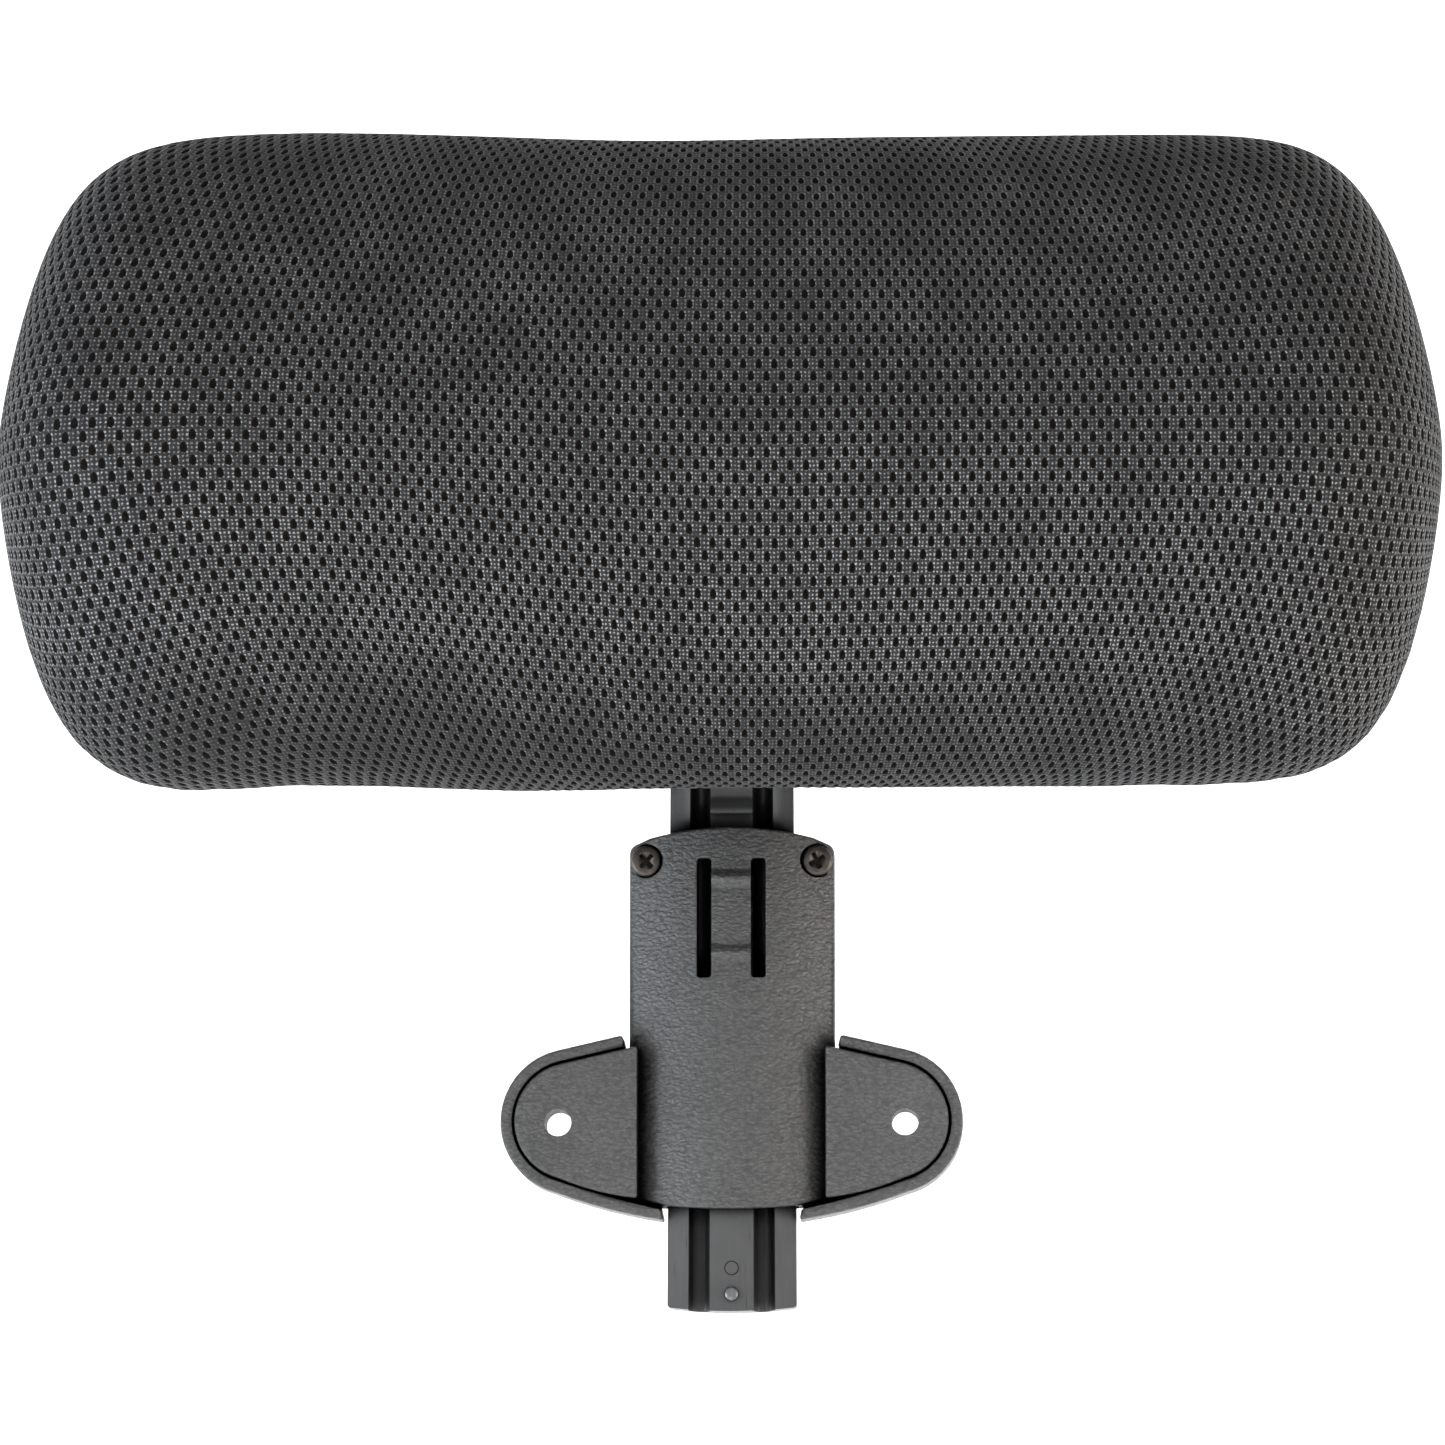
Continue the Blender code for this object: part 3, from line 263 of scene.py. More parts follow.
def moulded_plastic(name, dark, light, grain, rough, edge_mm=0.75):
    """Injection-moulded plastic: a leather-like grain in relief, slightly uneven in colour and gloss, with
    painted shade darkening its colour and reflections in grooves, slots and under the cushion.
    """
    s = Shader(name, IOR=1.5)
    place = s.place()
    drift = s.node("TexNoise", Vector=place, Scale=700.0, Detail=2.0).outputs["Color"]
    small = s.node("VectorMath", {"operation": "SCALE"}, i0=drift)
    small.inputs["Scale"].default_value = 0.0012
    warp = s.node("VectorMath", {"operation": "ADD"}, i0=place, i1=small.outputs[0])
    wide = s.node("Mapping", Vector=warp.outputs[0])
    wide.inputs["Scale"].default_value = (0.7, 1.0, 1.3)
    pebbles = s.cells(wide.outputs[0], 1050.0)
    wrinkles = s.noise(wide.outputs[0], 1700.0, 3.0, 0.7)
    height = s.math("ADD", s.math("MULTIPLY", pebbles, -0.8), s.math("MULTIPLY", wrinkles, 0.8))
    normal = s.bump(height, grain, 0.3, s.rounded_normal(edge_mm))
    clouds = s.noise(place, 38.0, 2.0)
    shade = s.math("ADD", s.math("MULTIPLY", clouds, 0.35), s.math("MULTIPLY", height, 0.65))
    # Painted shade: the colour and the specular level are darkened in grooves and slots and under the
    # cushion.
    painted_shade = s.math("MULTIPLY", s.painted_shade(9.0, 0.12), s.under_cushion())
    colour = s.scaled(s.ramp(shade, (0.0, dark), (0.42, light)), painted_shade)
    return s.finish(
        Base_Color=colour,
        Roughness=s.remap(wrinkles, 0.35, 0.65, rough + 0.12, rough - 0.12),
        Normal=normal,
        Specular_IOR_Level=s.math("MULTIPLY", painted_shade, 0.55),
    )


def satin_plastic(name, dark, light, rough, gloss=0.5, edge_mm=0.2):
    """Smooth moulded plastic with faint flow lines and rubbed streaks along Z, and painted shade darkening
    its colour and reflections in grooves, slots and under the cushion.
    """
    s = Shader(name, IOR=1.5)
    place = s.place()
    stretched = s.node("Mapping", Vector=place)
    stretched.inputs["Scale"].default_value = (1.0, 1.0, 0.06)
    streaks = s.noise(stretched.outputs[0], 1400.0, 3.0, 0.6)
    fine = s.noise(place, 2600.0, 2.0)
    clouds = s.noise(place, 60.0, 2.0)
    relief = s.math("ADD", fine, s.math("MULTIPLY", streaks, 0.25))
    normal = s.bump(relief, 0.3, 0.02, s.rounded_normal(edge_mm))
    shade = s.math("ADD", s.math("MULTIPLY", clouds, 0.6), s.math("MULTIPLY", streaks, 0.4))
    # Painted shade: the colour and the specular level are darkened in grooves and slots and under the
    # cushion.
    painted_shade = s.math("MULTIPLY", s.painted_shade(6.0, 0.03, 0.45, 0.82), s.under_cushion())
    return s.finish(
        Base_Color=s.scaled(s.ramp(shade, (0.3, dark), (0.7, light)), painted_shade),
        Roughness=s.remap(streaks, 0.3, 0.7, rough - 0.05, rough + 0.09),
        Normal=normal,
        Specular_IOR_Level=s.math("MULTIPLY", painted_shade, gloss),
    )


def metal(name, dark, light, rough, brushed=0.0, metallic=1.0):
    """Plated or blackened steel, mottled, with fine machining marks, and painted shade darkening its
    recesses.
    """
    s = Shader(name, Metallic=metallic)
    place = s.place()
    mottle = s.noise(place, 420.0, 4.0, 0.65)
    stretched = s.node("Mapping", Vector=place)
    stretched.inputs["Scale"].default_value = (1.0, 1.0, 14.0)
    marks = s.noise(stretched.outputs[0], 700.0, 3.0)
    relief = s.math("ADD", mottle, s.math("MULTIPLY", marks, brushed))
    normal = s.bump(relief, 0.3, 0.03, s.rounded_normal(0.15))
    # Painted shade: the colour is darkened in recesses such as the screws' cross slots.
    colour = s.scaled(s.ramp(mottle, (0.3, dark), (0.72, light)), s.painted_shade(2.5, 0.02))
    roughness = s.remap(marks, 0.3, 0.7, rough - 0.08, rough + 0.1)
    return s.finish(Base_Color=colour, Roughness=roughness, Normal=normal)


def spacer_mesh():
    """The knitted face of the fabric: rows of tiny loops with short bright fibres between the holes, a
    painted highlight round the rim of each hole, and painted shade that makes the upper part darker.
    """
    s = Shader("spacer_mesh", IOR=1.45)
    knit = s.attribute("fabric")
    split = s.node("SeparateXYZ", Vector=knit)
    wander = s.node("TexNoise", Vector=knit, Scale=0.9, Detail=2.0).outputs["Color"]
    wobble = s.node("VectorMath", {"operation": "SCALE"}, i0=wander)
    wobble.inputs["Scale"].default_value = 0.7
    stitched = s.node("VectorMath", {"operation": "ADD"}, i0=knit, i1=wobble.outputs[0])
    stitches = s.node("SeparateXYZ", Vector=stitched.outputs[0])
    loops = None
    for axis, pitch in (("X", LOOP_WIDTH), ("Y", LOOP_HEIGHT)):
        wave = s.math("SINE", s.math("MULTIPLY", stitches.outputs[axis], 2 * math.pi / pitch), 0.0)
        wave = s.remap(wave, -1.0, 1.0, 0.0, 1.0)
        loops = wave if loops is None else s.math("MULTIPLY", loops, wave)
    fibres = s.noise(knit, 2.2, 2.0, 0.6)
    patches = s.noise(knit, 0.05, 2.0)
    # Painted highlight: a lighter ring round the rim of each hole.
    painted_lip_highlight = s.remap(split.outputs["Z"], 0.45 * RIM_DEPTH, RIM_DEPTH, 0.0, 1.0)
    # Loops by height: calmer where the fabric lies smooth at the top, with painted shade that makes the upper
    # part darker.
    height_share = s.remap(split.outputs["Y"], -100.0, 100.0, 0.0, 1.0)
    loop_smoothing_and_shade = s.ramp(height_share, *((share, (level,) * 3) for share, level in LOOP_SMOOTHING_AND_SHADE))
    bright = s.math("MULTIPLY", s.math("MULTIPLY", loops, s.remap(fibres, 0.35, 0.65, 0.35, 1.2)), loop_smoothing_and_shade)
    soft = s.remap(split.outputs["Y"], 10.0, 80.0, 0.0, 0.21)
    shade = s.math("ADD", s.math("ADD", bright, soft), s.math("MULTIPLY", painted_lip_highlight, 0.22))
    shade = s.math("ADD", shade, s.remap(patches, 0.3, 0.7, -0.05, 0.07))
    dark, middle, light = (0.008, 0.008, 0.0085), (0.026, 0.026, 0.027), (0.33, 0.33, 0.335)
    colour = s.ramp(shade, (0.0, dark), (0.3, middle), (0.9, light))
    normal = s.bump(s.math("ADD", loops, s.math("MULTIPLY", fibres, 0.6)), 0.8, 0.16)
    return s.finish(
        Base_Color=colour,
        Roughness=s.remap(fibres, 0.3, 0.7, 0.55, 0.8),
        Normal=normal,
        Sheen_Weight=0.2,
        Sheen_Roughness=0.4,
        Sheen_Tint=(0.6, 0.6, 0.62),
        Specular_IOR_Level=0.35,
    )


def hole_yarns_and_shade():
    """The dark spacer yarns seen down inside the holes, made near black as painted shade of the deep holes.
    """
    s = Shader("hole_yarns_and_shade", IOR=1.4, Specular_IOR_Level=0.1)
    yarns = s.noise(s.attribute("fabric"), 3.5, 2.0)
    colour = s.ramp(yarns, (0.35, (0.004, 0.0036, 0.003)), (0.75, (0.016, 0.014, 0.012)))
    return s.finish(Base_Color=colour, Roughness=0.9)


def open_foam():
    """Cut cushion foam with open cells."""
    s = Shader("open_foam", IOR=1.4)
    place = s.place()
    pores = s.cells(place, 900.0)
    colour = s.ramp(pores, (0.1, (0.30, 0.26, 0.19)), (0.6, (0.72, 0.66, 0.54)))
    normal = s.bump(pores, 0.8, 0.4)
    return s.finish(Base_Color=colour, Roughness=s.remap(pores, 0.0, 1.0, 0.98, 0.85), Normal=normal)


def birch_plywood():
    """Plywood: long grain across the board's faces and thin plies through its thickness."""
    s = Shader("birch_plywood")
    place = s.place()
    stretched = s.node("Mapping", Vector=place)
    stretched.inputs["Scale"].default_value = (0.08, 1.0, 1.0)
    grain = s.noise(stretched.outputs[0], 520.0, 5.0, 0.65)
    plies = s.node("TexWave", {"bands_direction": "Y"}, Vector=place, Scale=260.0).outputs["Fac"]
    mixed = s.math("ADD", s.math("MULTIPLY", grain, 0.7), s.math("MULTIPLY", plies, 0.3))
    colour = s.ramp(mixed, (0.3, (0.36, 0.23, 0.11)), (0.7, (0.62, 0.45, 0.26)))
    roughness = s.remap(grain, 0.3, 0.7, 0.55, 0.75)
    return s.finish(Base_Color=colour, Roughness=roughness, Normal=s.bump(grain, 0.4, 0.08))


def studio_white(value, glow):
    """A plain pale surface with the slightest variation, lit a little from behind like a light table."""
    s = Shader("studio_white", Roughness=0.9, Emission_Color=(1.0, 1.0, 1.0), Emission_Strength=glow)
    tone = s.noise(s.place(), 3.0, 2.0)
    shade = s.ramp(tone, (0.3, (value - 0.01,) * 3), (0.7, (value,) * 3))
    return s.finish(Base_Color=shade)


def make_materials():
    return {
        "housing_plastic": moulded_plastic(
            "housing_plastic", (0.031, 0.031, 0.0315), (0.074, 0.073, 0.072), 0.85, 0.34
        ),
        "post_plastic": satin_plastic("post_plastic", (0.042, 0.042, 0.043), (0.066, 0.066, 0.067), 0.32),
        "pin_plastic": satin_plastic("pin_plastic", (0.09, 0.09, 0.09), (0.12, 0.12, 0.12), 0.22),
        "black_steel": metal("black_steel", (0.045, 0.039, 0.034), (0.11, 0.096, 0.084), 0.40, 0.4, 0.75),
        "zinc_steel": metal("zinc_steel", (0.50, 0.50, 0.49), (0.68, 0.68, 0.66), 0.30, 0.6),
        "nylon": satin_plastic("nylon", (0.50, 0.47, 0.40), (0.58, 0.55, 0.47), 0.45),
        "cap_plastic": satin_plastic("cap_plastic", (0.022, 0.022, 0.023), (0.034, 0.034, 0.035), 0.40),
        "shell_plastic": moulded_plastic(
            "shell_plastic", (0.022, 0.022, 0.023), (0.036, 0.036, 0.037), 0.45, 0.5
        ),
        "plywood": birch_plywood(),
        "foam": open_foam(),
        "spacer_mesh": spacer_mesh(),
        "hole_yarns_and_shade": hole_yarns_and_shade(),
    }


# ---- Form of the cushion ----


def fullness(points, inset=0.0):
    """The form's level at each point, which is 1 on the cushion's surface, and the level's gradient."""
    width, height = HALF_WIDTH - inset, HALF_HEIGHT - inset
    x, y, z = (points - CENTRE).T
    front = y < 0
    depth = np.where(front, FRONT_DEPTH - inset, BACK_DEPTH - inset)
    power = np.where(front, FRONT_POWER, BACK_POWER)
    side = np.sqrt((z / height) ** 2 + SIDE_SOFTNESS**2)
    softened = SIDE_SOFTNESS**SIDE_POWER
    whole = (1 + SIDE_SOFTNESS**2) ** (SIDE_POWER / 2) - softened
    plane = np.abs(x / width) ** END_POWER + (side**SIDE_POWER - softened) / whole
    plane = np.maximum(plane, 1e-9)
    behind = np.abs(y / depth)
    level = plane**BLEND_POWER + behind**power
    outward = BLEND_POWER * plane ** (BLEND_POWER - 1)
    slope_x = outward * END_POWER * np.abs(x / width) ** (END_POWER - 1) / width * np.sign(x)
    slope_z = outward * SIDE_POWER * side ** (SIDE_POWER - 2) * z / height**2 / whole
    slope_y = power * behind ** (power - 1) / depth * np.sign(y)
    return level, np.stack([slope_x, slope_y, slope_z], 1)


def onto_form(points, rounds=3):
    """The points, moved along the gradient to the cushion's surface."""
    for _ in range(rounds):
        level, slope = fullness(points)
        steepness = np.maximum((slope**2).sum(1), 1e-8)
        step = slope * ((level - 1) / steepness)[:, None]
        length = np.linalg.norm(step, axis=1)
        step *= np.minimum(1.0, 4.0 / np.maximum(length, 1e-9))[:, None]
        points = points - step
    return points


def cast(origins, directions, inset=0.0):
    """Where rays that start inside the form leave it."""
    near = np.zeros(len(origins))
    far = np.full(len(origins), 400.0)
    for _ in range(40):
        middle = (near + far) / 2
        level, _ = fullness(origins + directions * middle[:, None], inset)
        near = np.where(level < 1, middle, near)
        far = np.where(level < 1, far, middle)
    return origins + directions * near[:, None]


def radial_start(u, v):
    """A first guess of the sheet: each fabric point is laid along the section that leads to its rim point."""
    half_u, half_v = sheet_extent()
    headings = np.linspace(0, math.pi / 2, 121)
    turns = np.linspace(0, math.radians(168), 260)
    paths = []
    for heading in headings:
        corner = abs(math.cos(heading)) ** SHEET_POWER + abs(math.sin(heading)) ** SHEET_POWER
        across = np.array([HALF_WIDTH * math.cos(heading), 0.0, HALF_HEIGHT * math.sin(heading)])
        across /= corner ** (1 / SHEET_POWER)
        across /= np.linalg.norm(across)
        rays = np.outer(np.cos(turns), [0.0, -1.0, 0.0]) + np.outer(np.sin(turns), across)
        path = cast(np.tile(CENTRE, (len(turns), 1)), rays)
        walked = np.concatenate([[0.0], np.cumsum(np.linalg.norm(np.diff(path, axis=0), axis=1))])
        to_rim = np.interp(math.pi / 2, turns, walked)
        before = np.linspace(0, 1, PATH_MARKS + 1) * to_rim
        marks = np.concatenate([before, to_rim + np.arange(1, PATH_MARKS + 1)])
        paths.append(np.stack([np.interp(marks, walked, path[:, k]) for k in range(3)], 1))
    paths = np.array(paths)
    share_u, share_v = np.abs(u / half_u), np.abs(v / half_v)
    reach = (share_u**SHEET_POWER + share_v**SHEET_POWER) ** (1 / SHEET_POWER)
    heading = np.arctan2(share_v, np.maximum(share_u, 1e-9)) / (math.pi / 2) * (len(headings) - 1)
    overrun = np.hypot(u, v) * (1 - 1 / np.maximum(reach, 1e-9))
    mark = np.where(reach < 1, reach * PATH_MARKS, PATH_MARKS + np.minimum(overrun, PATH_MARKS - 1.0))
    i0 = np.clip(np.floor(heading).astype(int), 0, len(headings) - 2)
    j0 = np.clip(np.floor(mark).astype(int), 0, paths.shape[1] - 2)
    p, q = (heading - i0)[..., None], (mark - j0)[..., None]
    first = paths[i0, j0] * (1 - q) + paths[i0, j0 + 1] * q
    second = paths[i0 + 1, j0] * (1 - q) + paths[i0 + 1, j0 + 1] * q
    sheet = first * (1 - p) + second * p
    for axis, sign in ((0, np.where(u < 0, -1, 1)), (2, np.where(v < 0, -1, 1))):
        sheet[..., axis] = CENTRE[axis] + (sheet[..., axis] - CENTRE[axis]) * sign
    return sheet


def grid_links(inside):
    """Pairs of neighbouring grid points in use, with each pair's rest length and stiffness."""
    rows, columns = inside.shape
    index = np.arange(inside.size).reshape(inside.shape)
    firsts, seconds, rests, weights = [], [], [], []
    for di, dj, weight in ((0, 1, 1.0), (1, 0, 1.0), (1, 1, 0.25), (1, -1, 0.25)):
        a = index[: rows - di, max(0, -dj) : columns - max(0, dj)].ravel()
        b = index[di:, max(0, dj) : columns + min(0, dj)].ravel()
        both = inside.ravel()[a] & inside.ravel()[b]
        firsts.append(a[both])
        seconds.append(b[both])
        rests.append(np.full(both.sum(), math.hypot(di, dj) * GRID_STEP))
        weights.append(np.full(both.sum(), weight))
    return [np.concatenate(column) for column in (firsts, seconds, rests, weights)]


def gather(a, b, moves, count):
    """Sums each link's move at its first point, and its opposite at the second."""
    columns = [np.bincount(a, moves[:, k], count) - np.bincount(b, moves[:, k], count) for k in range(3)]
    return np.stack(columns, 1)


def relax(sheet, inside, rounds=600):
    """Evens out the sheet's stretch and shear while it stays on the form, as knitted fabric does.

    Knit gives way when pushed together, so links resist that less than a pull, and a little smoothing keeps
    the rows fair. Behind the rim the fabric is gathered, so links there keep any shorter length that they
    start with.
    """
    a, b, rest, weight = grid_links(inside)
    points = sheet.reshape(-1, 3).copy()
    gathered = np.maximum(points[a, 1], points[b, 1]) > RIM_Y + GATHER_START
    rest = np.where(gathered, np.minimum(rest, np.linalg.norm(points[b] - points[a], axis=1)), rest)
    count = len(points)
    total = np.maximum(np.bincount(a, weight, count) + np.bincount(b, weight, count), 1e-9)[:, None]
    straight = weight == 1.0
    sa, sb = a[straight], b[straight]
    valence = np.bincount(sa, minlength=count) + np.bincount(sb, minlength=count)
    inner = (valence == 4)[:, None]
    for _ in range(rounds):
        apart = points[b] - points[a]
        distance = np.maximum(np.linalg.norm(apart, axis=1), 1e-6)
        strain = 1 - rest / distance
        stiffness = np.where(strain > 0, 1.0, PUSH_STIFFNESS) * weight
        change = gather(a, b, apart * (0.5 * stiffness * strain)[:, None], count) / total
        even = gather(sa, sb, apart[straight], count) / 4
        points = onto_form(points + OVER_RELAXATION * change + np.where(inner, FAIRING * even, 0.0), 1)
    return onto_form(points).reshape(sheet.shape)


def extend(sheet, inside, rounds=4):
    """Carries the grid on past its used points in straight lines, so that it can be sampled near its edge."""
    sheet, known = sheet.copy(), inside.copy()
    for _ in range(rounds):
        total = np.zeros_like(sheet)
        found = np.zeros(known.shape)
        for di, dj in ((0, 1), (0, -1), (1, 0), (-1, 0)):
            near = np.roll(sheet, (di, dj), (0, 1))
            far = np.roll(sheet, (2 * di, 2 * dj), (0, 1))
            usable = np.roll(known, (di, dj), (0, 1)) & np.roll(known, (2 * di, 2 * dj), (0, 1)) & ~known
            total += np.where(usable[..., None], 2 * near - far, 0.0)
            found += usable
        new = found > 0
        sheet[new] = total[new] / found[new][:, None]
        known |= new
    return sheet


def sheet_extent():
    """The fabric's length from its middle to the rim, across and up."""
    turns = np.linspace(0, math.pi / 2, 400)
    origin = np.tile(CENTRE, (len(turns), 1))
    extents = []
    for axis in ((1.0, 0.0, 0.0), (0.0, 0.0, 1.0)):
        rays = np.outer(np.cos(turns), [0.0, -1.0, 0.0]) + np.outer(np.sin(turns), axis)
        fan = cast(origin, rays)
        extents.append(np.linalg.norm(np.diff(fan, axis=0), axis=1).sum())
    return extents


def simulate_swell(sheet, inside, pinned):
    """Cloth under light pressure, held at its back edge: the cover swells between its fixings."""
    rows, columns = inside.shape
    bodies = bmesh.new()
    corners = {}
    _, slope = fullness(sheet.reshape(-1, 3))
    normals = slope / np.linalg.norm(slope, axis=1)[:, None]
    normals = normals.reshape(sheet.shape)
    for i, j in zip(*np.nonzero(inside)):
        corners[i, j] = bodies.verts.new(Vector(sheet[i, j] * MM))
    for i in range(rows - 1):
        for j in range(columns - 1):
            quad = [(i, j), (i, j + 1), (i + 1, j + 1), (i + 1, j)]
            if all(key in corners for key in quad):
                bodies.faces.new([corners[key] for key in quad])
    bodies.verts.index_update()
    order = {key: vertex.index for key, vertex in corners.items()}
    mesh = bpy.data.meshes.new("cover_sheet")
    bodies.to_mesh(mesh)
    bodies.free()
    cloth_object = bpy.data.objects.new("cover_sheet", mesh)
    bpy.context.scene.collection.objects.link(cloth_object)
    held = cloth_object.vertex_groups.new(name="held")
    held.add([order[key] for key in order if pinned[key]], 1.0, "REPLACE")
    cloth = cloth_object.modifiers.new("Cloth", "CLOTH")
    settings = cloth.settings
    for setting, value in CLOTH_SETTINGS.items():
        setattr(settings, setting, value)
    settings.vertex_group_mass = "held"
    settings.effector_weights.gravity = 0.0
    cloth.point_cache.frame_start = 1
    cloth.point_cache.frame_end = CLOTH_FRAMES
    for step in range(1, CLOTH_FRAMES + 1):
        bpy.context.scene.frame_set(step)
    settled = cloth_object.evaluated_get(bpy.context.evaluated_depsgraph_get())
    places = np.empty(len(settled.data.vertices) * 3, np.float32)
    settled.data.vertices.foreach_get("co", places)
    places = places.reshape(-1, 3).astype(float) / MM
    bpy.context.scene.frame_set(1)
    bpy.data.objects.remove(cloth_object, do_unlink=True)
    bpy.data.meshes.remove(mesh)
    swollen = sheet.copy()
    for key, number in order.items():
        move = places[number] - sheet[key]
        outward = move @ normals[key]
        allowed = np.clip(outward, -SETTLE_LIMIT, SWELL_LIMIT)
        swollen[key] = sheet[key] + move + normals[key] * (allowed - outward)
    return swollen


def hump(value, centre, spread):
    return np.exp(-(((value - centre) / spread) ** 2))


def swells(value, places):
    return sum(height * hump(value, middle, spread) for height, middle, spread in places)


def sag(points):
    """The uneven stuffing: fuller at the left end, a slack stretch left of the middle, a wavy lower edge."""
    x, y, z = (points - CENTRE).T
    high = np.clip(z / HALF_HEIGHT, 0, 1) ** 2
    low = np.clip(-z / HALF_HEIGHT, 0, 1) ** 2
    front = np.clip(-y / FRONT_DEPTH, 0, 1)
    moved = points.copy()
    moved[:, 2] += swells(x, TOP_SWELLS) * high - swells(x, BOTTOM_SWELLS) * low
    for height, lean, across, wide, up, tall in FRONT_SWELLS:
        moved[:, 1] -= height * hump(x + lean * z, across, wide) * hump(z, up, tall) * front
    lift = np.clip((y - LIFT_START) / LIFT_SPAN, 0, 1)
    moved[:, 1] += (BACK_DEPTH - y) * lift**2 * (3 - 2 * lift)
    moved[:, 0] -= SIDE_SHIFT + TOP_NARROWING * x * z / HALF_HEIGHT + swells(x, END_SWELLS) * high
    return moved


def build_sheet():
    """The cover as a grid of points, GRID_STEP apart in the fabric."""
    across = np.arange(-GRID_HALF[0], GRID_HALF[0] + 1) * GRID_STEP
    up = np.arange(-GRID_HALF[1], GRID_HALF[1] + 1) * GRID_STEP
    reach = [extent + SHEET_OVERLAP for extent in sheet_extent()]
    u, v = np.meshgrid(across, up)
    inside = (np.abs(u / reach[0]) ** SHEET_POWER + np.abs(v / reach[1]) ** SHEET_POWER) < 1
    sheet = relax(radial_start(u, v), inside)
    pinned = sheet[..., 1] > RIM_Y + HELD_START
    sheet = simulate_swell(sheet, inside, pinned)
    sheet = extend(sheet, inside)
    return sag(sheet.reshape(-1, 3)).reshape(sheet.shape)


def cubic_weights(t):
    """Catmull-Rom weights of the four neighbours."""
    return np.stack([
        -0.5 * t + t**2 - 0.5 * t**3,
        1 - 2.5 * t**2 + 1.5 * t**3,
        0.5 * t + 2 * t**2 - 1.5 * t**3,
        -0.5 * t**2 + 0.5 * t**3,
    ])


def sample(sheet, u, v):
    """Points of the sheet at fabric coordinates, between the grid points."""
    rows, columns = sheet.shape[:2]
    a = np.clip(u / GRID_STEP + GRID_HALF[0], 1.0, columns - 2.001)
    b = np.clip(v / GRID_STEP + GRID_HALF[1], 1.0, rows - 2.001)
    ia, ib = np.floor(a).astype(int), np.floor(b).astype(int)
    wa, wb = cubic_weights(a - ia), cubic_weights(b - ib)
    found = np.zeros((len(u), 3))
    for p in range(4):
        for q in range(4):
            found += (wb[p] * wa[q])[:, None] * sheet[ib + p - 1, ia + q - 1]
    return found


def sample_normals(sheet, u, v, step=0.8):
    """The sheet's unit normals at fabric coordinates, from points a step to each side."""
    across = sample(sheet, u + step, v) - sample(sheet, u - step, v)
    up = sample(sheet, u, v + step) - sample(sheet, u, v - step)
    normal = np.cross(across, up)
    return normal / np.maximum(np.linalg.norm(normal, axis=1), 1e-9)[:, None]


# ---- Knitted cover ----


def row_drift(u, v):
    """How far the knitted rows lie from level: they run downhill left of the middle, more so lower down."""
    share = np.clip((u + 122.0) / 140.0, 0, 1)
    fall = share * share * (3 - 2 * share)
    return (0.5 - fall) * (7.6 + 3.4 * np.clip(-v / 70.0, -0.4, 1.0))


def lattice_to_fabric(x, y):
    """Fabric coordinates of a lattice point: slightly wider pitch at the left end, and the rows' drift."""
    stretch = 1 + 0.045 * np.clip((-x - 90.0) / 60.0, 0, 1)
    u = x * stretch
    return u, y + row_drift(u, y)


def knit_cells(sheet):
    """Column, row and lattice coordinates of every cell that the grid reaches, and where its centre lies."""
    columns = int(1.0 + (GRID_HALF[0] - 2) * GRID_STEP / HOLE_PITCH)
    rows = int(1.0 + (GRID_HALF[1] - 2) * GRID_STEP / ROW_STEP)
    i, j = np.meshgrid(np.arange(-columns, columns + 1), np.arange(-rows, rows + 1))
    x = i * HOLE_PITCH + (j % 2) * HOLE_PITCH / 2
    y = j * ROW_STEP
    u, v = lattice_to_fabric(x.ravel(), y.ravel().astype(float))
    places = sample(sheet, u, v)
    return i, j, x, y, places.reshape(*i.shape, 3)


def under_shell(places):
    """True where the fabric is on the back and tucked under the rear shell."""
    half = (SHELL_BOX[1] - SHELL_BOX[0]) / 2 - SHELL_OVERLAP
    middle = (SHELL_BOX[1] + SHELL_BOX[0]) / 2
    x = np.abs((places[..., 0] - middle[0]) / half[0])
    z = np.abs((places[..., 2] - middle[2]) / half[2])
    tucked = x**SHELL_END_POWER + z**SHELL_SIDE_POWER < 1
    return tucked & (places[..., 1] > RIM_Y + 6.0)


def cell_corners(x, y):
    """The six corners of a lattice cell, anticlockwise seen from the front, starting at the top."""
    wide, side = HOLE_PITCH / 2, ROW_STEP - CELL_TOP
    offsets = ((0, CELL_TOP), (-wide, side), (-wide, -side), (0, -CELL_TOP), (wide, -side), (wide, side))
    return [(x + dx, y + dy) for dx, dy in offsets]


def hole_rim(x, y):
    """An egg-shaped ring round a cell's centre, narrow end up, anticlockwise seen from the front."""
    ring = []
    for k in range(RIM_POINTS):
        turn = 2 * math.pi * k / RIM_POINTS
        wide = HOLE_HALF_WIDTH * (1 - HOLE_TAPER * math.cos(turn))
        ring.append((x - wide * math.sin(turn), y + HOLE_HALF_HEIGHT * math.cos(turn)))
    return ring


